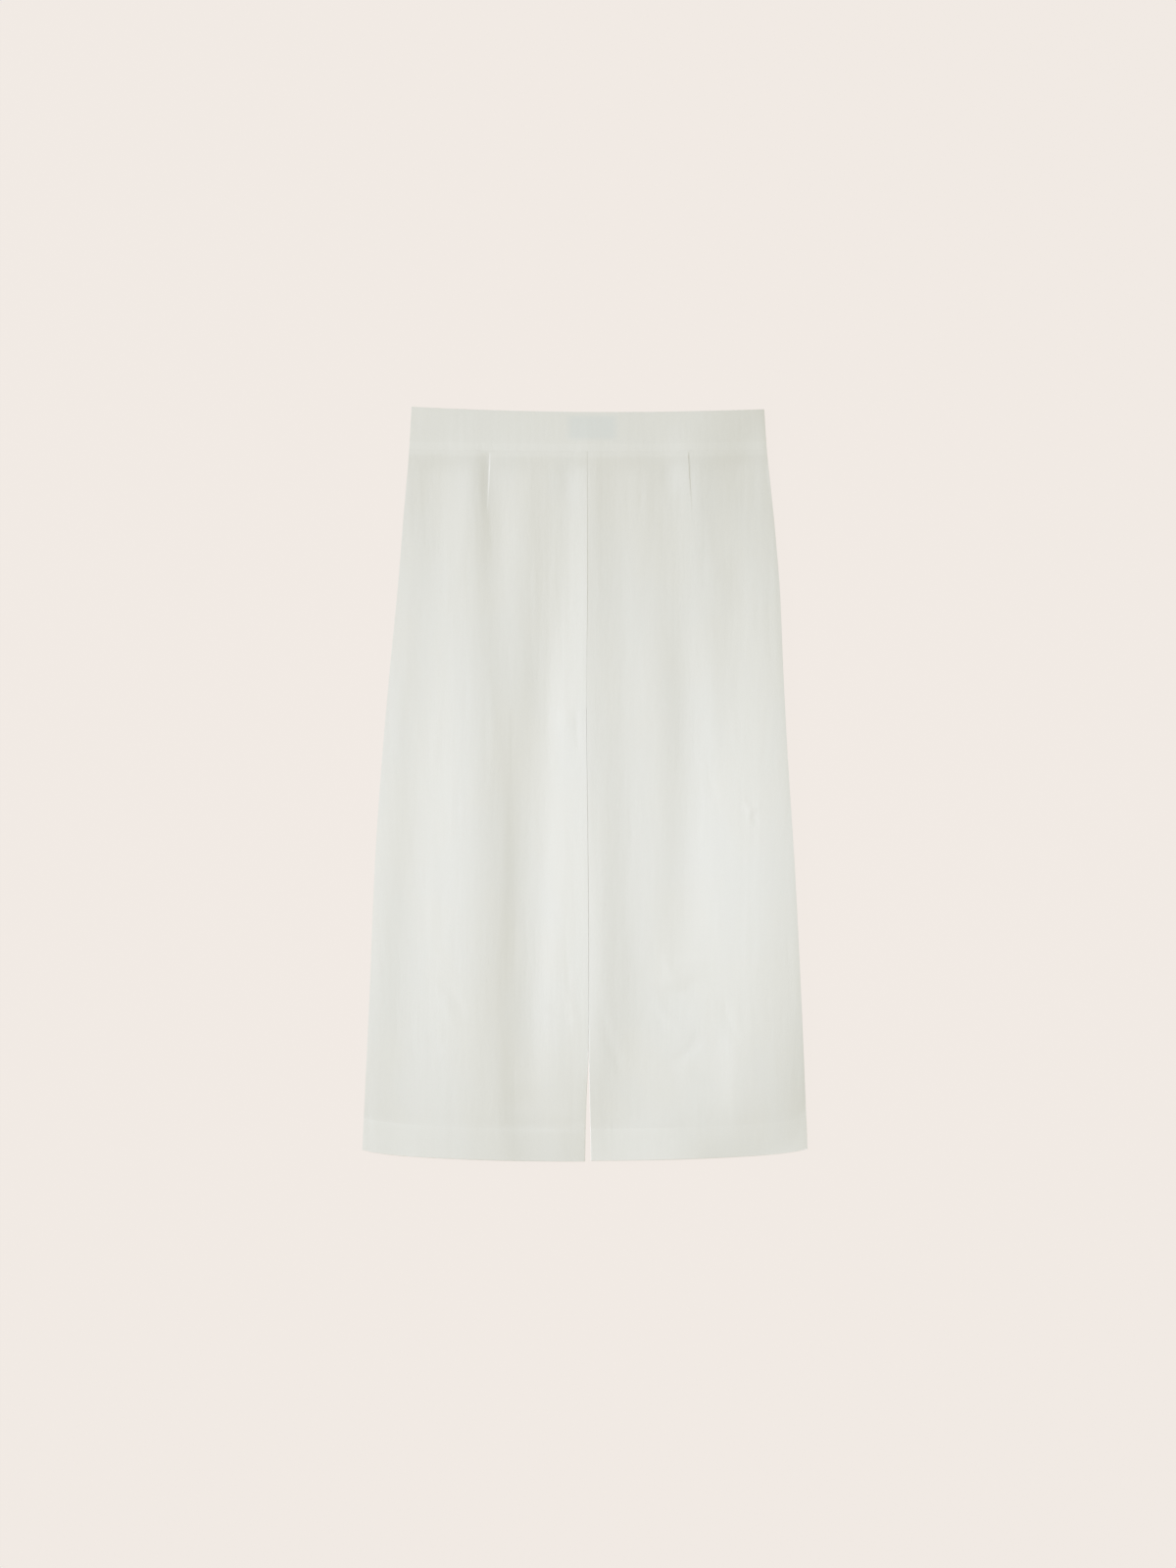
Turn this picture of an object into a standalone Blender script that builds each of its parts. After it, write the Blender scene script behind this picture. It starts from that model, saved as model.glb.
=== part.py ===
"""Wide-legged culottes laid flat on a surface, with the front facing up.

Metres. The origin is the middle of the outline, on the surface. +Z is up, +Y points to the
waist, and +X to the wearer's left, so the right leg lies at -X.

Every cloth piece is a wall of one thickness around a middle surface. A leg panel runs from the
waist seam down to its hem, turns in and runs back up inside as the hem's turn-up. A waistband
runs up from the waist seam, folds along its top edge and runs back down inside.
"""
import math
from collections import namedtuple

import bpy
from mathutils import Vector

# ---------------------------------------------------------------- cloth and layers
CLOTH = 0.0010                  # wall thickness of every piece
SEAM_GAP = 0.0003               # clearance between pieces, and between layers that touch
LAYER = CLOTH + SEAM_GAP        # from one layer's middle surface to the next one's
FOLD_RADIUS = LAYER / 2         # middle surface of a folded edge
FOLD_STEPS = 4                  # facets round a folded edge

# ---------------------------------------------------------------- stack of layers, from below
BACK_Z = CLOTH / 2                          # back panels and the outer layer of the back band
SEWN_FRONT_Z = BACK_Z + LAYER               # a front panel's side seam and inseam on the back
STACK_FRONT_Z = BACK_Z + 3 * LAYER          # the front over both turn-ups, or both band facings
LABEL_Z = BACK_Z + 2 * LAYER                # the label on the inside of the back band
LABELLED_FRONT_Z = BACK_Z + 4 * LAYER       # the front band's outer layer over the label

# ---------------------------------------------------------------- sewn details
HEM_TURN_UP = 0.035
DART_LENGTH = 0.073
DART_ACROSS = {-1: 0.461, 1: 0.439}         # where a dart lies, from side seam 0 to centre 1
DART_RISE = 0.0007                          # the cloth on the centre side stands over the dart
DART_REACH = 0.13                           # share of the panel over which that step dies away
LABEL_WIDTH = 0.048
LABEL_DEPTH = 0.022
LABEL_CENTRE = (0.0040, 0.3720)

# ---------------------------------------------------------------- lie of the front panels
LIE_Z = SEWN_FRONT_Z + 0.0001               # lowest middle surface of a front panel
EASE_IN_CLOTH = 0.0012                      # how far it stands over that between its folds
LOWEST_FOLD = 0.0
HIGHEST_FOLD = 0.0032
HEM_FOLD_SHARE = 0.3                        # how much of the folds' height is left at the hem
EDGE_ROLL = 0.016                           # width over which the front drops to a side seam
CROTCH_Y = 0.056
CROTCH_BLEND = 0.030                        # above and below it the inseam opens and closes
STEEP_RUN = 0.012                           # drop from the hem or band stack at a sewn edge
GENTLE_RUN = 0.055                          # and in the middle of a panel
LABEL_CLEAR = 0.004                         # the front band lies level this far past the label
BAND_RISE_RUN = 0.040                       # and settles to its side seams over this

# ---------------------------------------------------------------- outline
EdgeRow = namedtuple("EdgeRow", "y right_side_x left_side_x")
SIDE_SEAMS = (
    EdgeRow(0.3924, -0.1801, 0.1864),
    EdgeRow(0.3476, -0.1829, 0.1894),
    EdgeRow(0.2860, -0.1885, 0.1957),
    EdgeRow(0.2040, -0.1951, 0.2025),
    EdgeRow(0.1230, -0.2031, 0.2057),
    EdgeRow(0.0410, -0.2102, 0.2098),
    EdgeRow(-0.0810, -0.2183, 0.2177),
    EdgeRow(-0.2040, -0.2233, 0.2239),
    EdgeRow(-0.3924, -0.2320, 0.2320),
)

CentreRow = namedtuple("CentreRow", "y right_leg_x left_leg_x")
CENTRE_LINE = (
    CentreRow(0.3924, 0.0027, 0.0030),
    CentreRow(0.2040, 0.0027, 0.0030),
    CentreRow(0.0750, 0.0017, 0.0020),
    CentreRow(-0.0410, 0.0029, 0.0033),
    CentreRow(-0.1430, 0.0038, 0.0043),
    CentreRow(-0.2600, 0.0039, 0.0046),
    CentreRow(-0.3924, 0.0004, 0.0065),
)

WaistRow = namedtuple("WaistRow", "place top_y seam_y")
WAIST = (
    WaistRow("right side", 0.3924, 0.3476),
    WaistRow("centre", 0.3870, 0.3450),
    WaistRow("left side", 0.3901, 0.3476),
)

HEM_CENTRE_Y = {-1: -0.3924, 1: -0.3915}
HEM_LIFT = 0.0084               # the hem curves up this much from the inseam to the side seam
HEM_CORNER_LIFT = 0.0037        # and this much more close to the side seam
HEM_CORNER_POWER = 12

# ---------------------------------------------------------------- largest folds
# A fold runs down the front from one height to another, through three places across.
# reach is half its width, and a negative height is a trough.
Fold = namedtuple("Fold", "name from_y to_y from_x mid_x to_x reach height")
FOLDS = (
    Fold("right leg ridge", 0.345, -0.392, -0.114, -0.112, -0.116, 0.062, 0.0019),
    Fold("right dart trough", 0.345, 0.180, -0.092, -0.096, -0.096, 0.022, -0.0005),
    Fold("right waist ridge", 0.345, 0.150, -0.062, -0.064, -0.066, 0.024, 0.0006),
    Fold("right leg trough", 0.330, -0.392, -0.034, -0.054, -0.043, 0.045, -0.0012),
    Fold("centre ridge", 0.345, -0.300, 0.003, 0.003, 0.004, 0.042, 0.0012),
    Fold("left inner trough", 0.345, -0.360, 0.048, 0.050, 0.060, 0.040, -0.0010),
    Fold("left minor ridge", 0.250, -0.120, 0.072, 0.074, 0.076, 0.018, 0.0007),
    Fold("left outer trough", 0.260, -0.080, 0.096, 0.101, 0.100, 0.030, -0.0008),
    Fold("left dart ridge", 0.345, 0.230, 0.112, 0.116, 0.120, 0.034, 0.0008),
    Fold("left leg ridge", 0.200, -0.370, 0.172, 0.192, 0.178, 0.080, 0.0019),
    Fold("left hem ridge", -0.300, -0.392, 0.090, 0.092, 0.096, 0.050, 0.0010),
)
FOLD_END = 0.18                 # share of a fold's length over which each end fades

# ---------------------------------------------------------------- grids
EDGE_COLUMNS = (0.0, 0.022, 0.050, 0.090)           # across a front panel, from a sewn edge
FRONT_COLUMN_STEP = 0.083
DART_HALF_COLUMN = 0.004
BACK_COLUMNS = (0.0, 0.33, 0.67, 1.0)
BAND_COLUMNS = 14
HEM_ROWS = (0.0, 0.018, 0.0345, 0.0385, 0.043, 0.048, 0.062, 0.080)     # up from the hem
WAIST_ROWS = (0.0, 0.003, 0.0065, 0.012, 0.022, 0.038, 0.058)           # down from the band
FRONT_ROW_STEP = 0.034
BACK_ROWS = 11
TURN_UP_ROWS = (1.0, 0.5, 0.03)                     # shares of its height, down to the fold
BAND_ROWS = (0.0, 0.5, 0.97)                        # shares of its height, up to the fold
LABEL_COLUMNS = 4

# ---------------------------------------------------------------- finishes
IVORY = (0.745, 0.750, 0.700, 1.0)
LABEL_WHITE = (0.800, 0.810, 0.800, 1.0)
CLOTH_ROUGHNESS = 0.85
SHARPEST_SMOOTH_EDGE = math.radians(40)


# ---------------------------------------------------------------- curves
def between(start, end, share):
    return start + (end - start) * share


def ease(share):
    """From 0 to 1 with level ends."""
    share = min(max(share, 0.0), 1.0)
    return share * share * (3 - 2 * share)


def bell(distance, reach):
    """1 at no distance, down to 0 at reach."""
    if abs(distance) >= reach:
        return 0.0
    return 0.5 + 0.5 * math.cos(math.pi * distance / reach)


def along_rows(rows, column, y):
    """One column of a table at height y, on a smooth curve. Rows run from the waist down."""
    heights = [row.y for row in rows]
    values = [getattr(row, column) for row in rows]
    y = min(max(y, heights[-1]), heights[0])
    last = len(rows) - 1
    i = next(k for k in range(last) if y >= heights[k + 1])

    def slope(k):
        a, b = max(k - 1, 0), min(k + 1, last)
        return (values[b] - values[a]) / (heights[b] - heights[a])

    step = heights[i + 1] - heights[i]
    t = (y - heights[i]) / step
    return (values[i] * (2 * t ** 3 - 3 * t ** 2 + 1) + slope(i) * step * (t ** 3 - 2 * t ** 2 + t)
            + values[i + 1] * (3 * t ** 2 - 2 * t ** 3) + slope(i + 1) * step * (t ** 3 - t ** 2))


def through_three(first, middle, last, share):
    """The parabola through three values at shares 0, 0.5 and 1."""
    return (first * (1 - share) * (1 - 2 * share) + middle * 4 * share * (1 - share)
            + last * share * (2 * share - 1))


# ---------------------------------------------------------------- the garment's outline
def side_x(side, y):
    """X of the side seam. side is -1 for the wearer's right leg and 1 for the left."""
    return along_rows(SIDE_SEAMS, "right_side_x" if side < 0 else "left_side_x", y)


def centre_x(side, y):
    """X of a panel's edge at the centre line: the rise seam, then the inseam."""
    return along_rows(CENTRE_LINE, "right_leg_x" if side < 0 else "left_leg_x", y)


def panel_x(side, across, y):
    """across runs from 0 at the side seam to 1 at the centre line."""
    return between(side_x(side, y), centre_x(side, y), across)


def waist_share(side, across):
    """Where a panel's place lies along the waist, from 0 at the right side to 1 at the left."""
    return across / 2 if side < 0 else 1 - across / 2


def waist_y(column, share):
    return through_three(*(getattr(row, column) for row in WAIST), share)


def hem_y(side, across):
    outward = 1 - across
    lift = HEM_LIFT * outward ** 2 + HEM_CORNER_LIFT * outward ** HEM_CORNER_POWER
    return HEM_CENTRE_Y[side] + lift


# ---------------------------------------------------------------- heights
def band_front_z(x):
    """Middle surface of the front band's outer layer, raised over the label."""
    beyond = abs(x - LABEL_CENTRE[0]) - LABEL_WIDTH / 2 - LABEL_CLEAR
    return between(LABELLED_FRONT_Z, STACK_FRONT_Z, ease(beyond / BAND_RISE_RUN))


def fold_height(fold, x, y):
    """How far one fold moves the cloth up or down."""
    share = (fold.from_y - y) / (fold.from_y - fold.to_y)
    if not 0 < share < 1:
        return 0.0
    middle = through_three(fold.from_x, fold.mid_x, fold.to_x, share)
    ends = ease(share / FOLD_END) * ease((1 - share) / FOLD_END)
    return fold.height * ends * bell(x - middle, fold.reach)


def dart_step(side, across, y):
    """The cloth on the centre side of a dart stands a little over it, less towards its point."""
    down = (waist_y("seam_y", waist_share(side, across)) - y) / DART_LENGTH
    inward = (across - DART_ACROSS[side]) / DART_REACH
    if inward < 0 or inward > 1 or down > 1:
        return 0.0
    return DART_RISE * (1 - ease(down)) * (1 - inward)


def front_z(side, across, y):
    """Middle surface of a front panel."""
    x = panel_x(side, across, y)
    folds = EASE_IN_CLOTH + sum(fold_height(fold, x, y) for fold in FOLDS)
    folds += dart_step(side, across, y)
    folds = min(max(folds, LOWEST_FOLD), HIGHEST_FOLD)

    inseam = ease((CROTCH_Y + CROTCH_BLEND - y) / (2 * CROTCH_BLEND))
    from_side = ease(abs(x - side_x(side, y)) / EDGE_ROLL)
    from_inseam = between(1.0, ease(abs(x - centre_x(side, y)) / EDGE_ROLL), inseam)
    free = from_side * from_inseam
    lying = between(SEWN_FRONT_Z, LIE_Z + folds, free)

    run = between(STEEP_RUN, GENTLE_RUN, free)
    over_hem = y - hem_y(side, across) - HEM_TURN_UP - 2 * FOLD_RADIUS - CLOTH
    hem_z = STACK_FRONT_Z + HEM_FOLD_SHARE * folds * free
    lying = between(hem_z, lying, ease(over_hem / run))

    under_band = waist_y("seam_y", waist_share(side, across)) - y
    return between(band_front_z(x), lying, ease(under_band / run))


# ---------------------------------------------------------------- solids
def wall_normals(grid):
    """The unit normal at each point of the middle surface."""
    def direction(points, k):
        legs = [(points[j + 1] - points[j]).normalized()
                for j in (k - 1, k) if 0 <= j < len(points) - 1]
        return sum(legs, Vector()).normalized()

    columns = list(zip(*grid))
    return [[direction(row, i).cross(direction(columns[i], j)).normalized()
             for i in range(len(row))] for j, row in enumerate(grid)]


def cloth_solid(name, grid, material, thickness=CLOTH):
    """A closed wall around a grid of middle-surface points. Rows run along +Y, points along +X."""
    normals = wall_normals(grid)
    rows, columns = len(grid), len(grid[0])
    vertices = []
    for sign in (1, -1):
        for row, normal_row in zip(grid, normals):
            vertices += [p + n * (sign * thickness / 2) for p, n in zip(row, normal_row)]

    def upper(j, i):
        return j * columns + i

    def lower(j, i):
        return rows * columns + j * columns + i

    faces = []
    for j in range(rows - 1):
        for i in range(columns - 1):
            faces.append((upper(j, i), upper(j, i + 1), upper(j + 1, i + 1), upper(j + 1, i)))
            faces.append((lower(j, i), lower(j + 1, i), lower(j + 1, i + 1), lower(j, i + 1)))
    for i in range(columns - 1):
        faces.append((lower(0, i), lower(0, i + 1), upper(0, i + 1), upper(0, i)))
        faces.append((upper(rows - 1, i), upper(rows - 1, i + 1),
                      lower(rows - 1, i + 1), lower(rows - 1, i)))
    for j in range(rows - 1):
        faces.append((upper(j, 0), upper(j + 1, 0), lower(j + 1, 0), lower(j, 0)))
        faces.append((lower(j, columns - 1), lower(j + 1, columns - 1),
                      upper(j + 1, columns - 1), upper(j, columns - 1)))

    mesh = bpy.data.meshes.new(name)
    mesh.from_pydata(vertices, [], faces)
    mesh.validate()
    mesh.shade_smooth()
    mesh.set_sharp_from_angle(angle=SHARPEST_SMOOTH_EDGE)
    mesh.materials.append(material)
    piece = bpy.data.objects.new(name, mesh)
    bpy.context.collection.objects.link(piece)
    return piece


def finish(name, colour):
    material = bpy.data.materials.new(name)
    material.use_nodes = True
    shader = material.node_tree.nodes["Principled BSDF"]
    shader.inputs["Base Color"].default_value = colour
    shader.inputs["Roughness"].default_value = CLOTH_ROUGHNESS
    shader.inputs["Metallic"].default_value = 0.0
    return material


# ---------------------------------------------------------------- leg panels
def front_columns(side):
    """Places across a front panel, close together at its edges and at its dart."""
    inner_edge = [1 - place for place in reversed(EDGE_COLUMNS)]
    start, end = EDGE_COLUMNS[-1], inner_edge[0]
    count = round((end - start) / FRONT_COLUMN_STEP)
    plain = [between(start, end, k / count) for k in range(1, count)]
    dart = DART_ACROSS[side]
    clear = FRONT_COLUMN_STEP / 3
    plain = [place for place in plain if abs(place - dart) > clear]
    pair = [dart - DART_HALF_COLUMN, dart + DART_HALF_COLUMN]
    return sorted([*EDGE_COLUMNS, *plain, *pair, *inner_edge])


def outer_rows(length, first_rows, last_rows, step):
    """Distances up from the fold of the hem, close together where the height changes."""
    start, end = first_rows[-1], length - last_rows[-1]
    count = math.ceil((end - start) / step)
    plain = [between(start, end, k / count) for k in range(1, count)]
    return [*first_rows, *plain, *(length - distance for distance in reversed(last_rows))]


def leg_panel(name, side, columns, first_rows, last_rows, step, middle_z, turn, material):
    """middle_z(across, y) is the outer layer. turn is where its turn-up lies: 1 above, -1 below."""
    edge = FOLD_RADIUS + CLOTH / 2
    turn_up = [("inside", HEM_TURN_UP * share) for share in TURN_UP_ROWS]
    fold = [("fold", math.pi * k / FOLD_STEPS) for k in range(FOLD_STEPS, -1, -1)]
    middle_y = hem_y(side, 0.5) + edge
    length = waist_y("seam_y", waist_share(side, 0.5)) - SEAM_GAP / 2 - middle_y
    outer = [("outside", rise / length)
             for rise in outer_rows(length, first_rows, last_rows, step)[1:]]

    grid = []
    for layer, amount in turn_up + fold + outer:
        row = []
        for across in columns:
            hem = hem_y(side, across) + edge
            seam = waist_y("seam_y", waist_share(side, across)) - SEAM_GAP / 2
            if layer == "outside":
                y = between(hem, seam, amount)
                z = middle_z(across, y)
            elif layer == "inside":
                y = hem + amount
                z = middle_z(across, y) + turn * 2 * FOLD_RADIUS
            else:
                y = hem - FOLD_RADIUS * math.sin(amount)
                z = middle_z(across, hem) + turn * FOLD_RADIUS * (1 - math.cos(amount))
            row.append(Vector((panel_x(side, across, y), y, z)))
        grid.append(row if side < 0 else row[::-1])
    return cloth_solid(name, grid, material)


def front_leg(name, side, material):
    return leg_panel(name, side, front_columns(side), HEM_ROWS, WAIST_ROWS, FRONT_ROW_STEP,
                     lambda across, y: front_z(side, across, y), -1, material)


def back_leg(name, side, material):
    step = (SIDE_SEAMS[0].y - SIDE_SEAMS[-1].y) / BACK_ROWS
    return leg_panel(name, side, BACK_COLUMNS, (0.0, HEM_TURN_UP), (0.0, step / 2), step,
                     lambda across, y: BACK_Z, 1, material)


# ---------------------------------------------------------------- waistband and label
def waistband(name, outer_z, turn, material):
    """outer_z(x) is the outer layer. turn is where its inner layer lies: 1 above, -1 below."""
    outer = [("outside", share) for share in BAND_ROWS]
    fold = [("fold", math.pi * k / FOLD_STEPS) for k in range(FOLD_STEPS + 1)]
    inner = [("inside", share) for share in reversed(BAND_ROWS)]

    grid = []
    for layer, amount in outer + fold + inner:
        row = []
        for column in range(BAND_COLUMNS + 1):
            share = column / BAND_COLUMNS
            top = waist_y("top_y", share) - FOLD_RADIUS - CLOTH / 2
            seam = waist_y("seam_y", share) + SEAM_GAP / 2
            y = between(seam, top, amount) if layer != "fold" else top
            x = between(side_x(-1, y), side_x(1, y), share)
            z = outer_z(x)
            if layer == "fold":
                y += FOLD_RADIUS * math.sin(amount)
                z += turn * FOLD_RADIUS * (1 - math.cos(amount))
            elif layer == "inside":
                z += turn * 2 * FOLD_RADIUS
            row.append(Vector((x, y, z)))
        grid.append(row)
    return cloth_solid(name, grid, material)


def label(name, material):
    """A blank label, sewn flat to the inside of the back waistband."""
    x, y = LABEL_CENTRE
    grid = [[Vector((x + between(-0.5, 0.5, i / LABEL_COLUMNS) * LABEL_WIDTH, y + end, LABEL_Z))
             for i in range(LABEL_COLUMNS + 1)]
            for end in (-LABEL_DEPTH / 2, LABEL_DEPTH / 2)]
    return cloth_solid(name, grid, material)


# ---------------------------------------------------------------- build
def build():
    for old in list(bpy.data.objects):
        bpy.data.objects.remove(old, do_unlink=True)
    for side, wearers in ((-1, "right"), (1, "left")):
        front_leg(f"{wearers}_front_leg", side, finish(f"{wearers} front cloth", IVORY))
        back_leg(f"{wearers}_back_leg", side, finish(f"{wearers} back cloth", IVORY))
    waistband("front_waistband", band_front_z, -1, finish("front band cloth", IVORY))
    waistband("back_waistband", lambda x: BACK_Z, 1, finish("back band cloth", IVORY))
    label("waistband_label", finish("label tape", LABEL_WHITE))


build()
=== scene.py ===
# %% [markdown]
# # Culottes laid flat
#
# This lesson gives a plain packed model of wide-legged culottes its cloth. The packed model has the right
# size and the right pieces, but its walls are faceted and thick. Each piece is made again here as a thin
# curved shell: a leg panel with its folds and turn-up, a folded waistband, and a blank label. The shells
# stay in the space of the pieces that they stand for, and the frame is loaded first.

# %% Load the packed frame
import math
from collections import namedtuple

import bpy
import numpy as np
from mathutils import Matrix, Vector


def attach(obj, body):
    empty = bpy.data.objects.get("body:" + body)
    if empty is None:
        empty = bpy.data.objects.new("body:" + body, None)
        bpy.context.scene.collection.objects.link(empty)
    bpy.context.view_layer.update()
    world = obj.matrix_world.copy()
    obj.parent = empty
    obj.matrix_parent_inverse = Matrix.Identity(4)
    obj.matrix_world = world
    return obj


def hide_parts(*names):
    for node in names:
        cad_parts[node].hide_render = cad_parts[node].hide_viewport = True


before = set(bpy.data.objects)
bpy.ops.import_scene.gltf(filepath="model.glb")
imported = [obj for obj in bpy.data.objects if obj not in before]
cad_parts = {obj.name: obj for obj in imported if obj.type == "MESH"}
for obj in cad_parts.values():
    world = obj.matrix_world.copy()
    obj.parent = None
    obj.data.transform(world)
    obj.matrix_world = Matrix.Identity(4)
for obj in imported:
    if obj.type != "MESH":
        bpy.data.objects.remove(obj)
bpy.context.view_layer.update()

print("nodes to dress:", sorted(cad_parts))

# %% [markdown]
# ## Units and the camera
#
# Sewing is measured in millimetres, so every shape below is worked out in millimetres and becomes metres
# only where a mesh is made. A garment laid flat is looked at from straight above. A long lens from nearly
# four metres keeps its two sides free of perspective, so an edge that turns under shows as a thin line.

# %% Camera straight above
MM = 0.001
CAMERA_LENS = 85.0
CAMERA_SENSOR = 36.0
CAMERA_REACH = 200.0
VIEW_LENGTH = 1.632
VIEW_CENTRE = (0.00347, 0.00025)


def straight_down_camera():
    lens = bpy.data.cameras.new("camera above")
    lens.lens = CAMERA_LENS
    lens.sensor_width = CAMERA_SENSOR
    lens.clip_end = CAMERA_REACH
    camera = bpy.data.objects.new("camera above", lens)
    distance = VIEW_LENGTH * CAMERA_LENS / CAMERA_SENSOR
    camera.location = (*VIEW_CENTRE, distance)
    bpy.context.scene.collection.objects.link(camera)
    bpy.context.scene.camera = camera
    return distance


print("camera height in m:", round(straight_down_camera(), 3))

# %% [markdown]
# ## The outline
#
# The outline is the pattern of the garment as it lies: two flared side seams, a centre line that is the
# rise seam at the top and the two inseams below, a waist seam, a waist edge, and hems that curve up to the
# side seams. A few measured rows are enough, because a smooth curve through them gives every height
# between. Right and left are the wearer's, so the right leg lies at -X and has side -1.

# %% Outline rows
EdgeRow = namedtuple("EdgeRow", "y right_side_x left_side_x")
SIDE_SEAMS = (
    EdgeRow(392.4, -180.0, 186.6),
    EdgeRow(347.6, -182.5, 189.6),
    EdgeRow(286.0, -187.8, 196.0),
    EdgeRow(204.0, -194.4, 202.9),
    EdgeRow(123.0, -202.3, 206.4),
    EdgeRow(41.0, -209.6, 210.5),
    EdgeRow(-81.0, -218.1, 218.2),
    EdgeRow(-204.0, -223.2, 224.5),
    EdgeRow(-392.4, -231.8, 232.5),
)
CentreRow = namedtuple("CentreRow", "y middle_x gap")
CENTRE_LINE = (
    CentreRow(392.4, 2.83, 0.12),
    CentreRow(290.0, 2.83, 0.03),
    CentreRow(204.0, 2.83, 0.03),
    CentreRow(75.0, 1.9, 0.04),
    CentreRow(-41.0, 3.12, 0.03),
    CentreRow(-143.0, 4.02, 0.03),
    CentreRow(-266.0, 4.1, 0.03),
    CentreRow(-285.0, 4.05, 0.5),
    CentreRow(-306.0, 3.8, 1.8),
    CentreRow(-347.0, 3.5, 4.2),
    CentreRow(-392.4, 3.5, 6.2),
)
WaistRow = namedtuple("WaistRow", "place top_y seam_y")
WAIST = (
    WaistRow("right side", 392.4, 348.6),
    WaistRow("centre", 387.0, 346.1),
    WaistRow("left side", 390.1, 348.8),
)
print("rows of side seams, centre line and waist:", len(SIDE_SEAMS), len(CENTRE_LINE), len(WAIST))

# %% Curves through the rows
LEAST_GAP = 0.03
HEM_CENTRE_Y = {-1: -392.4, 1: -391.5}
HEM_LIFT = 8.4
HEM_CORNER_LIFT = 3.7
HEM_CORNER_POWER = 12


def between(start, end, share):
    return start + (end - start) * share


def ease(share):
    """From 0 to 1 with level ends."""
    share = np.clip(share, 0.0, 1.0)
    return share * share * (3 - 2 * share)


def cubic(t, run, start, end, start_slope, end_slope):
    """One stretch of a smooth curve, for t from 0 to 1, that leaves and arrives at the given slopes."""
    return (start * (2 * t ** 3 - 3 * t ** 2 + 1) + start_slope * run * (t ** 3 - 2 * t ** 2 + t)
            + end * (3 * t ** 2 - 2 * t ** 3) + end_slope * run * (t ** 3 - t ** 2))


def smooth_curve(stops, values, at):
    """A curve through values, read at any place between the stops, which run downwards."""
    stops = np.array(stops, float)[::-1]
    values = np.array(values, float)[::-1]
    slopes = np.gradient(values, stops)
    at = np.clip(at, stops[0], stops[-1])
    k = np.clip(np.searchsorted(stops, at, side="right") - 1, 0, len(stops) - 2)
    run = stops[k + 1] - stops[k]
    return cubic((at - stops[k]) / run, run, values[k], values[k + 1], slopes[k], slopes[k + 1])


def column_of(rows, name):
    return [getattr(row, name) for row in rows]


def side_x(side, y):
    values = column_of(SIDE_SEAMS, "right_side_x" if side < 0 else "left_side_x")
    return smooth_curve(column_of(SIDE_SEAMS, "y"), values, y)


def centre_x(side, y):
    """X of a panel's edge at the centre line: the rise seam, then the inseam. The two legs never cross."""
    heights = column_of(CENTRE_LINE, "y")
    gap = np.maximum(smooth_curve(heights, column_of(CENTRE_LINE, "gap"), y), LEAST_GAP)
    return smooth_curve(heights, column_of(CENTRE_LINE, "middle_x"), y) + side * gap / 2


def waist_y(name, share):
    """The waist edge or waist seam, from share 0 at the right side to 1 at the left."""
    first, middle, last = column_of(WAIST, name)
    return (first * (1 - share) * (1 - 2 * share) + middle * 4 * share * (1 - share)
            + last * share * (2 * share - 1))


def hem_y(side, across):
    """The lower edge of a leg. across is 0 at the side seam and 1 at the inseam."""
    outward = 1 - across
    return HEM_CENTRE_Y[side] + HEM_LIFT * outward ** 2 + HEM_CORNER_LIFT * outward ** HEM_CORNER_POWER


print("hem width of each leg in mm:",
      [round(float(abs(side_x(side, y) - centre_x(side, y))), 1) for side, y in HEM_CENTRE_Y.items()])

# %% [markdown]
# ## How the front lies
#
# Cloth laid down by hand never lies level. Long soft folds fall from the waist darts, the rise seam holds
# a crest, and between them the cloth sinks to the back panel. Each fold line here is one crest or one
# trough, followed from the waist to the hem, with its place across and its height at nine stations.
# The cloth is a smooth curve through all the lines, so neighbouring folds run into each other as they do
# in real cloth. A simulation would give folds too, but not these ones, in these places.

# %% Fold lines of the front
STATIONS = (345, 290, 200, 100, 0, -120, -240, -330, -392)
FoldLine = namedtuple("FoldLine", "name x z")
RIGHT_FOLDS = (
    FoldLine("side seam", x=(-183, -188, -195, -205, -213, -220, -226, -229, -231),
             z=(3.9, 3.9, 3.9, 4.0, 3.9, 3.7, 3.5, 4.1, 4.3)),
    FoldLine("side crest", x=(-172, -176, -183, -192, -200, -208, -214, -218, -221),
             z=(3.8, 3.95, 4.2, 4.4, 4.3, 4.1, 3.85, 4.35, 4.6)),
    FoldLine("side dip", x=(-149, -153, -163, -173, -180, -187, -195, -199, -201),
             z=(3.5, 3.7, 4.4, 4.45, 4.3, 3.9, 3.75, 4.5, 4.9)),
    FoldLine("leg crest", x=(-113, -109, -109, -106, -103, -101, -101, -108, -112),
             z=(4.4, 5.1, 5.9, 6.5, 6.75, 6.5, 6.35, 7.0, 7.3)),
    FoldLine("dart valley", x=(-101, -99, -96, -88, -87, -87, -90, -86, -80),
             z=(4.1, 4.2, 5.25, 5.5, 5.5, 5.3, 5.6, 6.2, 6.5)),
    FoldLine("waist crest", x=(-64, -61, -67, -67, -69, -71, -77, -73, -66),
             z=(4.4, 4.9, 5.35, 4.45, 3.5, 3.0, 4.1, 4.95, 5.35)),
    FoldLine("leg trough", x=(-35, -35, -34, -39, -42, -46, -56, -52, -46),
             z=(4.55, 4.55, 4.5, 3.0, 2.55, 2.1, 2.5, 4.1, 4.5)),
    FoldLine("swell", x=(-14, -14, -14, -19, -21, -27, -30, -30, -28),
             z=(4.8, 4.85, 5.05, 4.55, 4.0, 3.6, 3.75, 4.15, 4.25)),
    FoldLine("rise seam", x=(0, 0, 0, 1, 2, 3, 3, 2, 0),
             z=(5.3, 5.75, 6.28, 6.1, 5.6, 5.15, 4.75, 3.5, 3.1)),
)
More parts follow.
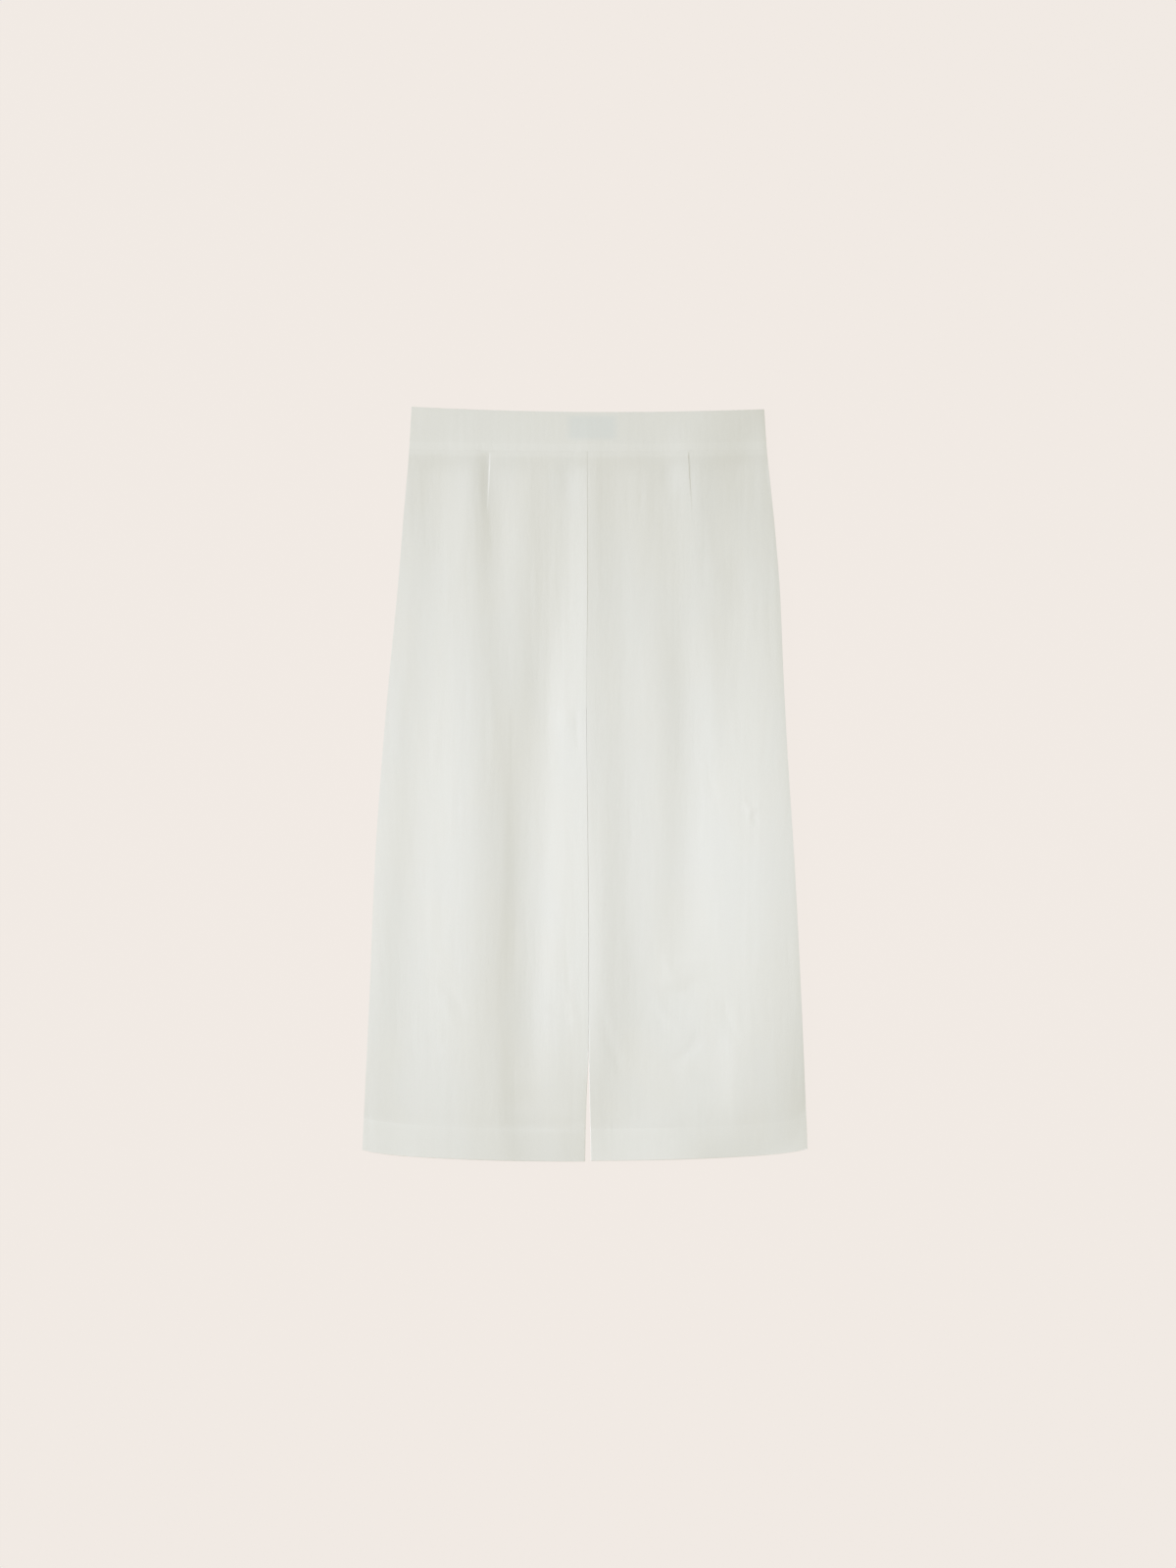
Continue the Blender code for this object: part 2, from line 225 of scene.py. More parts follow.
LEFT_FOLDS = (
    FoldLine("rise seam", x=(3, 3, 3, 2, 3, 4, 4, 6, 7),
             z=(5.3, 5.79, 6.33, 6.13, 5.52, 5.06, 4.9, 5.3, 5.2)),
    FoldLine("inner crest", x=(10, 10, 10, 10, 9, 11, 11, 12, 13),
             z=(5.3, 5.75, 6.2, 5.95, 5.47, 5.12, 4.95, 4.78, 5.2)),
    FoldLine("inner trough", x=(25, 28, 31, 38, 44, 46, 56, 48, 40),
             z=(4.75, 5.05, 5.45, 5.1, 3.85, 3.15, 2.65, 3.5, 5.3)),
    FoldLine("minor crest", x=(55, 63, 72, 80, 80, 77, 80, 82, 88),
             z=(4.6, 5.0, 5.5, 5.3, 3.85, 3.1, 2.75, 4.1, 6.05)),
    FoldLine("outer trough", x=(84, 88, 97, 106, 107, 105, 104, 112, 114),
             z=(4.1, 4.5, 5.0, 3.95, 2.8, 2.55, 3.5, 4.7, 5.95)),
    FoldLine("dart crest", x=(108, 118, 126, 134, 135, 134, 140, 146, 142),
             z=(5.15, 5.2, 5.25, 4.9, 4.15, 4.25, 5.0, 5.5, 4.5)),
    FoldLine("hip dip", x=(134, 140, 149, 154, 154, 154, 160, 166, 164),
             z=(3.8, 4.4, 4.65, 4.85, 5.05, 5.35, 5.9, 6.05, 3.6)),
    FoldLine("side crest", x=(168, 172, 182, 188, 192, 190, 186, 200, 206),
             z=(2.5, 3.5, 4.7, 5.35, 5.95, 6.4, 6.35, 5.7, 2.65)),
    FoldLine("side seam", x=(189, 195, 202, 205, 211, 220, 226, 229, 231),
             z=(2.65, 3.1, 4.45, 5.1, 5.6, 5.6, 5.0, 3.8, 2.75)),
)
for leg, lines in (("right", RIGHT_FOLDS), ("left", LEFT_FOLDS)):
    heights = [z for line in lines for z in line.z]
    print(leg, "leg:", len(lines), "fold lines, from", min(heights), "to", max(heights), "mm")

# %% The cloth through the fold lines
SOFTENING = 4.0


def height_between(lines, x, y):
    """The curve across the garment through every fold line, at each height. It runs on straight past its
    ends."""
    at = np.array([smooth_curve(STATIONS, line.x, y) for line in lines])
    height = np.array([smooth_curve(STATIONS, line.z, y) for line in lines])
    run = np.diff(at, axis=0)
    rate = np.diff(height, axis=0) / run
    inner = (rate[:-1] * run[1:] + rate[1:] * run[:-1]) / (run[:-1] + run[1:])
    slope = np.concatenate([rate[:1], inner, rate[-1:]])
    before = height[0] + slope[0] * (x - at[0])
    after = height[-1] + slope[-1] * (x - at[-1])
    lie = np.where(x <= at[0], before, after)
    for k in range(len(lines) - 1):
        t = (x - at[k]) / run[k]
        stretch = cubic(t, run[k], height[k], height[k + 1], slope[k], slope[k + 1])
        lie = np.where((t >= 0) & (t < 1), stretch, lie)
    return lie


def soft_height(lines, x, y):
    """The same curve, averaged with its neighbours a few millimetres away, so that no fold has a hard
    corner."""
    return sum(height_between(lines, x + step, y) for step in (-SOFTENING, 0, 0, SOFTENING)) / 4


across_the_leg, halfway_down = np.arange(10.0, 210.0, 50.0), np.zeros(4)
print("left leg halfway down in mm:", soft_height(LEFT_FOLDS, across_the_leg, halfway_down).round(2))

# %% [markdown]
# ## Small creases
#
# Smaller marks lie over the long folds: pinches beside the waist seam, a crumpled spot where the cloth was
# picked up, and slanting creases above the hems. Each has two ends, a bow, a reach to either side and a
# height, in millimetres, and a negative height is a trough. Besides these, crepe keeps faint upright
# streaks from pressing. They are too many to place one by one, so a seeded draw scatters them.

# %% Creases of the front
Crease = namedtuple("Crease", "name x y to_x to_y bow left right height")
FRONT_CREASES = (
    Crease("right waist pinch", -17, 342, -18, 296, 0, 8, 13, -0.24),
    Crease("right hip pinch", -163, 340, -168, 262, 0, 12, 9, -0.22),
    Crease("left waist pinch", 90, 356, 87, 304, 0, 9, 12, -0.34),
    Crease("left hip fall", 128, 344, 150, 292, 4, 14, 16, 0.25),
    Crease("hip dent", 138, 240, 146, 176, 3, 12, 15, 0.32),
    Crease("hip dent edge", 160, 236, 168, 180, 2, 6, 10, -0.10),
    Crease("rise pinch", -9, 74, -7, 34, 0, 2.2, 3.5, -0.16),
    Crease("rise swell", -20, 78, -17, 56, 0, 9, 7, 0.22),
    Crease("crumple top", 168, -14, 178, -20, 2, 2, 2.5, -0.20),
    Crease("crumple middle", 170, -30, 184, -24, -2, 2, 3, 0.18),
    Crease("crumple foot", 174, -32, 180, -42, 1, 2, 2.5, -0.20),
    Crease("crumple rim", 166, -18, 172, -40, -2, 3, 4, 0.18),
    Crease("upper knee mark", 118, 38, 128, 8, 2, 4, 6, 0.08),
    Crease("knee mark", 126, 12, 134, -14, -2, 4, 4, -0.15),
    Crease("shin ledge", 78, -206, 106, -208, 2, 4, 8, 0.35),
    Crease("shin patch", 102, -180, 104, -204, 0, 20, 26, 0.32),
    Crease("left hem corner", 229, -240, 236, -400, 0, 15, 15, -0.45),
    Crease("left leg line", 157, -252, 157, -360, 2, 12, 19, 0.45),
    Crease("left thigh line", 133, -60, 137, -170, 1, 8, 10, 0.12),
    Crease("shin slant", 84, -178, 96, -206, 2, 5, 6, 0.20),
    Crease("left chevron upper", 72, -224, 112, -262, 4, 5, 6, 0.25),
    Crease("left chevron lower", 118, -262, 88, -292, -4, 6, 6, -0.25),
    Crease("left chevron foot", 92, -286, 124, -306, 3, 6, 7, 0.22),
    Crease("left shin mark", 146, -226, 160, -268, 3, 5, 5, -0.20),
    Crease("right shin mark", -150, -206, -126, -240, -3, 5, 5, -0.20),
    Crease("right shin ridge", -146, -222, -134, -252, 2, 5, 6, 0.18),
    Crease("right ankle mark", -162, -264, -148, -276, 2, 4, 4, -0.18),
    Crease("right leg line", -158, -40, -160, -196, 1, 3, 4, 0.07),
    Crease("right leg second line", -146, -60, -150, -180, -1, 3, 4, -0.05),
    Crease("inner leg mark", -36, -232, -12, -246, 2, 4, 5, -0.20),
    Crease("inner leg slant", -22, -206, -8, -262, -2, 5, 5, 0.16),
    Crease("left inner slant", 18, -236, 40, -300, 3, 6, 6, -0.25),
    Crease("right knee line", -100, 120, -96, 10, -2, 4, 6, 0.12),
    Crease("right hem sag", -76, -326, -20, -340, -4, 12, 12, -0.35),
    Crease("left hem sag", 128, -350, 186, -366, -3, 10, 12, -0.15),
    Crease("left hem swell", 40, -356, 96, -352, 3, 12, 10, 0.30),
)


def crease_height(crease, x, y):
    """A soft ridge or trough along a bowed line, which fades at both ends."""
    run_x, run_y = crease.to_x - crease.x, crease.to_y - crease.y
    length = math.hypot(run_x, run_y)
    run_x, run_y = run_x / length, run_y / length
    share = ((x - crease.x) * run_x + (y - crease.y) * run_y) / length
    bow = crease.bow * 4 * np.clip(share, 0, 1) * (1 - np.clip(share, 0, 1))
    off = (y - crease.y) * run_x - (x - crease.x) * run_y + bow
    off = off / np.where(off > 0, crease.right, crease.left)
    ends = np.exp(-np.abs(2 * share - 1) ** 4)
    return crease.height * np.exp(-off ** 2) * ends


print("creases placed by hand on the front:", len(FRONT_CREASES))

# %% Pressed streaks
STREAKS = 260
STREAK_SEED = {-1: 11, 1: 12}
STREAK_HEIGHT = 0.028
STREAK_HALF_WIDTHS = (2.2, 6.0)
STREAK_HALF_LENGTHS = (18.0, 80.0)
STREAK_LEAN = 0.03


def streak_heights(x, y, seed):
    draw = np.random.default_rng(seed)
    total = np.zeros_like(x)
    for _ in range(STREAKS):
        at_x = draw.uniform(x.min(), x.max())
        at_y = draw.uniform(y.min(), y.max())
        half_width = draw.uniform(*STREAK_HALF_WIDTHS)
        half_length = draw.uniform(*STREAK_HALF_LENGTHS)
        off = (x - at_x - draw.normal(0, STREAK_LEAN) * (y - at_y)) / half_width
        total += draw.normal(0, STREAK_HEIGHT) * np.exp(-off ** 2 - ((y - at_y) / half_length) ** 2)
    return total


print("streaks scattered on each front leg:", STREAKS)

# %% [markdown]
# ## Layers
#
# The cloth is 0.6 mm thick. From below, the stack is the back panel, its turn-up or facing, the front's
# turn-up or facing, and the front. Each turn-up or facing lies a quarter of a millimetre clear of its own
# panel. Where a fold line would take the front deeper than what lies under it, it comes softly to rest.

# %% The stack
CLOTH = 0.6
LAYER = 0.85
BACK_Z = CLOTH / 2
LEAST_OVER_BACK = 1.35
LEAST_OVER_TURN_UPS = 2.72
REST_SOFTNESS = 0.2


def rest_on(lie, least):
    """Cloth lies no lower than the layers under it, and meets them softly."""
    return least + REST_SOFTNESS * np.logaddexp(0, (lie - least) / REST_SOFTNESS)


print("upper face of the back's turn-up in mm:", round(BACK_Z + LAYER + CLOTH / 2, 2))

# %% [markdown]
# ## Where the legs part
#
# Above the crotch the two fronts are sewn to each other. Their panels butt there, so the middle of the
# cloth runs up to the seam line. Below it each front is sewn to its own back, and the inseams of the two
# legs lie side by side, with a slit between them near the hem. At such an inseam the cloth turns over the
# edge, and its middle stops half a thickness short of it.

# %% From rise seam to inseam
CROTCH_Y = 56.0
CROTCH_BLEND = 30.0
EDGE_STEEPNESS = 50.0


def open_below(y):
    """0 where the fronts are sewn to each other, 1 where each is sewn to its back as an inseam."""
    return ease((CROTCH_Y + CROTCH_BLEND - y) / (2 * CROTCH_BLEND))


def seam_inset(y):
    """How far the middle of the cloth stops short of the centre line."""
    steep = EDGE_STEEPNESS * open_below(y)
    return CLOTH / 2 * steep / np.hypot(1, steep)


print("inset above and below the crotch in mm:", [round(float(seam_inset(y)), 2) for y in (200, -200)])

# %% [markdown]
# ## Sewn edges
#
# At a side seam or inseam the two outer layers turn to meet each other, so the edge of the garment is
# crisp, as a pressed seam is. Each turn is a quarter of an ellipse that stands upright at the edge. Over
# the last millimetres before it the cloth sinks a little, most at the left side and, on the right leg,
# beside the slit.

# %% Sinking towards an edge
Settle = namedtuple("Settle", "above below")
SIDE_SETTLE = {-1: Settle(0.03, 0.03), 1: Settle(0.36, 0.46)}
SIDE_SETTLE_REACH = 4.5
SETTLE_TOP_Y = 0.0
SETTLE_RUN = 300.0
CENTRE_SETTLE = 0.08
CENTRE_SETTLE_REACH = 2.5
CORNER_SETTLE = {-1: 0.4, 1: 0.0}
CORNER_SETTLE_REACH = 4.5
CORNER_TOP_Y = -280.0
CORNER_RUN = 50.0


def settled_at_edges(side, from_side, from_centre, y):
    """How far a panel's cloth sinks near its side seam, its centre edge and its corner beside the slit."""
    settle = SIDE_SETTLE[side]
    at_side = between(settle.above, settle.below, ease((SETTLE_TOP_Y - y) / SETTLE_RUN))
    at_corner = CORNER_SETTLE[side] * ease((CORNER_TOP_Y - y) / CORNER_RUN)
    return (at_side * np.exp(-from_side / SIDE_SETTLE_REACH)
            + CENTRE_SETTLE * np.exp(-from_centre / CENTRE_SETTLE_REACH)
            + at_corner * np.exp(-from_centre / CORNER_SETTLE_REACH))


def sink(lie, rim_z, settled, at_most):
    """Cloth brought nearer to the height of its rim, by no more than a share of the way."""
    return lie - np.sign(lie - rim_z) * np.minimum(settled, abs(lie - rim_z) * at_most)


print("left side seam sinks in mm:", [round(float(settled_at_edges(1, 0, 200, y)), 2) for y in (300, -300)])

# %% Turning at an edge
RIM_GAP = 0.2
BACK_RIM_Z = 1.65
FRONT_RIM_Z = BACK_RIM_Z + RIM_GAP
PANEL_SINKS_AT_MOST = 0.5
SIDE_ROLL = 0.05
INSEAM_ROLL = 0.03
HEM_ROLL = 0.2
SLIT_TOP_Y = -210.0
SLIT_BOTTOM_Y = -330.0


def quarter(distance, reach):
    """0 at the edge, where it stands upright, and 1 from reach inwards."""
    inward = np.clip(distance / reach, 0, 1)
    return np.sqrt(np.clip(1 - (1 - inward) ** 2, 0, 1))


def rolled(side, lie, rim_z, from_side, from_centre, y):
    """The lie of a panel with its edges brought down, or up, to where they are sewn."""
    lie = sink(lie, rim_z, settled_at_edges(side, from_side, from_centre, y), PANEL_SINKS_AT_MOST)
    inseam_roll = between(HEM_ROLL, INSEAM_ROLL, ease((y - SLIT_BOTTOM_Y) / (SLIT_TOP_Y - SLIT_BOTTOM_Y)))
    drop = 1 - quarter(from_side, SIDE_ROLL) + open_below(y) * (1 - quarter(from_centre, inseam_roll))
    return lie - (lie - rim_z) * drop


print("rims of back and front in mm:", BACK_RIM_Z, FRONT_RIM_Z)

# %% [markdown]
# ## A closed shell around a grid
#
# Every piece is a grid of points on the middle of its cloth, which may run round a fold. Moving the grid
# out and in by half the thickness gives the two faces, and a rim closes them. Blender's Solidify modifier
# does the same for a simple sheet, but here the rim has to meet its neighbour at a set gap, so the shell
# is made directly. Each corner also gets two UV places: where it lies on the flat cloth, for the weave,
# and how far it is from the seams.

# %% Shell maker
MITRE_LIMIT = 1.45
SHARP_ANGLE = math.radians(55)


def grid_offsets(points):
    """A step off the grid at each point. At a bend it is longer, so that the wall keeps its thickness."""
    def direction(axis):
        steps = np.diff(points, axis=axis)
        steps /= np.linalg.norm(steps, axis=2, keepdims=True)
        first = np.concatenate([np.take(steps, [0], axis), steps], axis)
        last = np.concatenate([steps, np.take(steps, [-1], axis)], axis)
        both = first + last
        return both, 2 / np.linalg.norm(both, axis=2, keepdims=True)

    down, down_mitre = direction(0)
    across, across_mitre = direction(1)
    normals = np.cross(down, across)
    normals /= np.linalg.norm(normals, axis=2, keepdims=True)
    return normals * np.minimum(down_mitre * across_mitre, MITRE_LIMIT)


def rim_faces(edge_upper, edge_lower):
    return np.stack([edge_upper[:-1], edge_upper[1:], edge_lower[1:], edge_lower[:-1]], 1)


def shell_faces(rows, columns):
    """Four corners for each face: the upper side, the lower side and the rim all round."""
    count = rows * columns
    number = np.arange(count).reshape(rows, columns)
    a, b, c, d = number[:-1, :-1], number[:-1, 1:], number[1:, 1:], number[1:, :-1]
    top = np.stack([a, d, c, b], 2).reshape(-1, 4)
    bottom = np.stack([a, b, c, d], 2).reshape(-1, 4) + count
    edges = (number[0], number[:, -1], number[-1, ::-1], number[::-1, 0])
    return np.concatenate([top, bottom, *(rim_faces(edge, edge + count) for edge in edges)])


def cloth_shell(name, x, y, z, uv_maps, material, thickness=CLOTH):
    """A closed wall around a grid. Rows run towards -Y on the outer face, and x grows along each row."""
    points = np.stack([x, y, z], 2)
    offset = grid_offsets(points) * thickness / 2
    upper, lower = points + offset, points - offset
    vertices = np.concatenate([upper.reshape(-1, 3), lower.reshape(-1, 3)]) * MM
    faces = shell_faces(*x.shape)
    mesh = bpy.data.meshes.new(name)
    mesh.from_pydata(vertices.tolist(), [], faces.tolist())
    corner = np.zeros(len(mesh.loops), np.int32)
    mesh.loops.foreach_get("vertex_index", corner)
    for map_name, (across, along) in uv_maps.items():
        place = np.stack([np.broadcast_to(across, x.shape), np.broadcast_to(along, x.shape)], 2) * MM
        place = np.concatenate([place.reshape(-1, 2)] * 2)
        layer = mesh.uv_layers.new(name=map_name)
        layer.uv.foreach_set("vector", place[corner].astype(np.float32).ravel())
    mesh.shade_smooth()
    mesh.set_sharp_from_angle(angle=SHARP_ANGLE)
    mesh.materials.append(material)
    piece = bpy.data.objects.new(name, mesh)
    bpy.context.scene.collection.objects.link(piece)
    area = 0.5 * sum(polygon.area for polygon in mesh.polygons)
    low, high = vertices[:, 2].min() / MM, vertices[:, 2].max() / MM
    print(f"{name}: {2 * len(faces)} triangles, {area:.4f} square m of cloth, z {low:.2f} to {high:.2f} mm")
    return piece, area


# %% [markdown]
# ## Finishes as sums
#
# A finish is a net of nodes, but its maths is easier to read as sums. The class below wraps one output
# socket, so that `1 - mask * 0.2` adds the Math nodes for it. Colours and vectors go through Mix and
# Vector Math nodes, because a Math node would turn a colour grey. Every other node comes from the method
# `add`. A grain is one noise on the cloth: its two lengths in millimetres, its detail and roughness, how
# much it changes the tone, and how high it stands in millimetres. A soft edge says over how many
# millimetres inside and outside a line something fades.

# %% Node helpers
Grain = namedtuple("Grain", "across along detail roughness tone rise", defaults=(0.0, 0.0))
SoftEdge = namedtuple("SoftEdge", "inside outside")


class Value:
    """One output socket of a finish, which can stand in a sum."""

    def __init__(self, finish, socket):
        self.finish = finish
        self.socket = socket

    def _with(self, operation, first, second):
        return self.finish.add("ShaderNodeMath", {"operation": operation}, {0: first, 1: second})

    def __add__(self, other):
        return self._with("ADD", self, other)

    def __radd__(self, other):
        return self._with("ADD", other, self)

    def __sub__(self, other):
        return self._with("SUBTRACT", self, other)

    def __rsub__(self, other):
        return self._with("SUBTRACT", other, self)

    def __mul__(self, other):
        return self._with("MULTIPLY", self, other)

    def __rmul__(self, other):
        return self._with("MULTIPLY", other, self)

    def __abs__(self):
        return self.finish.add("ShaderNodeMath", {"operation": "ABSOLUTE"}, {0: self})


class Finish:
    """A material's nodes. Its shader is the Principled BSDF that every new material comes with."""

    def __init__(self, name, **constants):
        self.material = bpy.data.materials.new(name)
        self.material.use_nodes = True
        self.tree = self.material.node_tree
        self.shader = self.tree.nodes["Principled BSDF"]
        for socket, value in constants.items():
            self.shader.inputs[socket.replace("_", " ")].default_value = value

    def feed(self, socket, value):
        if isinstance(value, Value):
            self.tree.links.new(value.socket, socket)
        else:
            socket.default_value = value

    def add(self, kind, settings=None, sockets=None, output=0):
        made = self.tree.nodes.new(kind)
        for name, value in (settings or {}).items():
            setattr(made, name, value)
        for name, value in (sockets or {}).items():
            self.feed(made.inputs[name], value)
        return Value(self, made.outputs[output])

    def flat_place(self, map_name, output=None):
        """A UV map, or one of its two numbers."""
        place = self.add("ShaderNodeUVMap", {"uv_map": map_name})
        if output is None:
            return place
        return self.add("ShaderNodeSeparateXYZ", {}, {0: place}, output)

    def noise(self, place, grain):
        size = (1 / (grain.across * MM), 1 / (grain.along * MM), 1.0)
        scaled = self.add("ShaderNodeVectorMath", {"operation": "MULTIPLY"}, {0: place, 1: size})
        return self.add("ShaderNodeTexNoise", {"noise_dimensions": "2D"},
                        {"Vector": scaled, "Scale": 1.0,
                         "Detail": grain.detail, "Roughness": grain.roughness})

    def step(self, value, start, end):
        """A soft step from 0 at start to 1 at end."""
        return self.add("ShaderNodeMapRange", {"interpolation_type": "SMOOTHSTEP"},
                        {"Value": value, "From Min": start, "From Max": end})

    def beyond(self, value, edge, soft):
        """A mask that is 0 inside an edge and 1 outside it. The edge is in mm."""
        return self.step(value, (edge - soft.inside) * MM, (edge + soft.outside) * MM)

    def within(self, value, edge, soft):
        return 1 - self.beyond(value, edge, soft)

    def mix(self, share, first, second):
        """With RGBA data the colours go in at sockets 6 and 7, and the mixed colour is output 2."""
        return self.add("ShaderNodeMix", {"data_type": "RGBA"}, {0: share, 6: first, 7: second}, 2)

    def bump(self, height):
        """height is in mm."""
        return self.add("ShaderNodeBump", {}, {"Height": height, "Distance": MM, "Strength": 1.0})


print("operators that add a Math node:", [name for name in vars(Value) if name.startswith("__")][2:])

# %% [markdown]
# ## Ivory crepe
#
# The cloth is a matte ivory crepe of midweight. Its yarns are twisted hard, so the surface has a fine
# pebble, and it has a faint bloom rather than a shine. The pebble is finer than a millimetre, so it is
# bump and a touch of tone. That tone is partly the crepe's own and partly painted shade: it follows the
# bump and leaves the hollows a little darker. A slow change of tone and faint upright streaks keep it from
# looking like card.
# Where two layers lie together, at the turned-up hem and over the seam allowances, less light goes
# through and the cloth looks a shade lighter. A real see-through cloth would show that by itself, but it
# is slow to render and can't be set so exactly, so each doubled part has a mask of its own.

# %% What shows through at the hem, and a painted highlight along its fold
HEM_EDGE = SoftEdge(1.2, 0.6)
HEM_SHOWS = 0.32
# Painted highlight: over the last nine millimetres above the hem's fold, the cloth is painted a shade
# lighter, as if its pressed edge caught the light.
HEM_GLOW_TO = 9.0
HEM_GLOW_EDGE = SoftEdge(7.0, 7.0)
HEM_GLOW_SHOWS = 0.1
TOUCHING_EDGE = SoftEdge(12.0, 12.0)
TOUCHING_SHOWS = 0.6


def turn_up_shows(cloth, hem, touches):
    """The turned-up cloth behind the panel, up to hem. It shows most between the two places across the
    leg where it touches the panel. Just above the fold, the cloth is also painted lighter as a highlight."""
    along = cloth.flat_place("cloth", 1)
    double = cloth.within(along, hem, HEM_EDGE)
    painted_hem_glow = cloth.within(along, HEM_GLOW_TO, HEM_GLOW_EDGE)
    shows = double * HEM_SHOWS + painted_hem_glow * HEM_GLOW_SHOWS
    if touches:
        across = cloth.flat_place("cloth", 0)
        first, last = touches
        touching = cloth.beyond(across, first, TOUCHING_EDGE) * cloth.within(across, last, TOUCHING_EDGE)
        shows = shows + double * touching * TOUCHING_SHOWS
    return shows


# %% What shows through beside the seams
ALLOWANCE = 14.0
ALLOWANCE_EDGE = SoftEdge(1.5, 1.0)
ALLOWANCE_SHOWS = 0.35
ALLOWANCE_TOP = 325.0
ALLOWANCE_TOP_EDGE = SoftEdge(75.0, 75.0)
UNDER_BAND = 6.0
UNDER_BAND_EDGE = SoftEdge(2.0, 2.0)
UNDER_BAND_SHOWS = 0.6
BAND_SHOWS = 0.6
BAND_ALLOWANCE = 8.0
BAND_ALLOWANCE_EDGE = SoftEdge(1.0, 0.6)
BAND_ALLOWANCE_SHOWS = 0.4


def allowances_show(cloth):
    """The allowances along a front's centre line, low down, and in a narrow strip under the waist seam."""
    strip = cloth.within(cloth.flat_place("seams", 1), ALLOWANCE, ALLOWANCE_EDGE)
    low_down = cloth.within(cloth.flat_place("cloth", 1), ALLOWANCE_TOP, ALLOWANCE_TOP_EDGE)
    under_band = cloth.within(cloth.flat_place("seams", 0), UNDER_BAND, UNDER_BAND_EDGE)
    return strip * low_down * ALLOWANCE_SHOWS + under_band * UNDER_BAND_SHOWS


def interlining_shows(cloth, seam):
    """The whole band is double, and it is thicker still over the allowances along its seam."""
    allowance = cloth.within(cloth.flat_place("cloth", 1), seam + BAND_ALLOWANCE, BAND_ALLOWANCE_EDGE)
    return BAND_SHOWS + allowance * BAND_ALLOWANCE_SHOWS


# %% Painted shadow of the label seen through the front band
LABEL_SHADOW_ENDS = SoftEdge(5.0, 6.0)
LABEL_SHADOW_SIDES = SoftEdge(4.0, 3.5)
LABEL_SHADOW_SHOWS = 0.8


# Painted shadow: over the label behind it, the band is painted a cooler grey shade with soft edges.
def painted_label_shadow(cloth, centre, half_size):
    off_x = abs(cloth.flat_place("cloth", 0) - centre[0] * MM)
    off_y = abs(cloth.flat_place("cloth", 1) - centre[1] * MM)
    behind = cloth.within(off_x, half_size[0], LABEL_SHADOW_ENDS) * cloth.within(off_y, half_size[1], LABEL_SHADOW_SIDES)
    return behind * LABEL_SHADOW_SHOWS


# %% Crepe
IVORY = (0.796, 0.794, 0.730, 1.0)
WARM_IVORY = (0.804, 0.792, 0.712, 1.0)
# The lighter ivory where two layers lie together. It is also the colour of the painted highlight along the
# hem's fold.
DOUBLE_AND_HIGHLIGHT_IVORY = (0.824, 0.822, 0.757, 1.0)
# Painted shade: the cooler grey of the label's shadow seen through the front band.
LABEL_SHADOW_TONE = (0.754, 0.776, 0.728, 1.0)
PEBBLE = Grain(0.9, 0.9, 3.0, 0.6, tone=0.05, rise=0.045)
YARN = Grain(0.5, 3.2, 1.0, 0.5, tone=0.03, rise=0.03)
FINE_STREAK = Grain(5.0, 60.0, 3.0, 0.6, tone=0.02, rise=0.06)
CRINKLE = Grain(7.0, 16.0, 3.0, 0.55, rise=0.08)
CLOUD = Grain(70.0, 120.0, 2.0, 0.5)
CLOUD_STEP = (0.35, 0.65)
CLOUD_SHOWS = 0.35
SMOOTHEST = 0.83
PEBBLE_ROUGHNESS = 0.08


def crepe(name, hem=None, touches=None, front=False, waist_seam=None, label=None):
    """hem: height of the turned-up cloth. touches: from and to where it touches a front. front: whether
    seam allowances show through. waist_seam: where the band's seam lies. label: centre and half size of
    the label's shadow, which is painted as a cooler grey shade on the cloth over the label behind it."""
    cloth = Finish(name, Roughness=0.86, Specular_IOR_Level=0.25, Sheen_Weight=0.12, Sheen_Roughness=0.6)
    place = cloth.flat_place("cloth")
    pebble, yarn, streak, crinkle, cloud = [
        cloth.noise(place, grain) for grain in (PEBBLE, YARN, FINE_STREAK, CRINKLE, CLOUD)]

    colour = cloth.mix(cloth.step(cloud, *CLOUD_STEP) * CLOUD_SHOWS, IVORY, WARM_IVORY)
    if hem:
        colour = cloth.mix(turn_up_shows(cloth, hem, touches), colour, DOUBLE_AND_HIGHLIGHT_IVORY)
    if waist_seam:
        colour = cloth.mix(interlining_shows(cloth, waist_seam), colour, DOUBLE_AND_HIGHLIGHT_IVORY)
    if front:
        colour = cloth.mix(allowances_show(cloth), colour, DOUBLE_AND_HIGHLIGHT_IVORY)
    if label:
        colour = cloth.mix(painted_label_shadow(cloth, *label), colour, LABEL_SHADOW_TONE)
    # The pebble, yarn and streak noises raise the bump and lighten the tone together, so their hollows are
    # painted a shade darker.
    tone = (1.0 + (pebble - 0.5) * PEBBLE.tone + (yarn - 0.5) * YARN.tone
            + (streak - 0.5) * FINE_STREAK.tone)
    shade = cloth.add("ShaderNodeCombineXYZ", {}, {0: tone, 1: tone, 2: tone})
    colour = cloth.add("ShaderNodeVectorMath", {"operation": "MULTIPLY"}, {0: colour, 1: shade})
    height = (pebble * PEBBLE.rise + yarn * YARN.rise + streak * FINE_STREAK.rise
              + crinkle * CRINKLE.rise)
    cloth.feed(cloth.shader.inputs["Base Color"], colour)
    cloth.feed(cloth.shader.inputs["Roughness"], SMOOTHEST + pebble * PEBBLE_ROUGHNESS)
    cloth.feed(cloth.shader.inputs["Normal"], cloth.bump(height))
    print(f"{name}: {len(cloth.tree.nodes)} nodes")
    return cloth.material


# %% [markdown]
# ## Places along a row
#
# At an edge the first points lie a tenth of a millimetre apart or less, and in the middle of a piece one
# to four millimetres. Each place is therefore kept as two numbers: a fixed distance from one edge, and a
# share of the whole length. Places near an edge then keep their distance from it while the panel widens
# towards the hem.

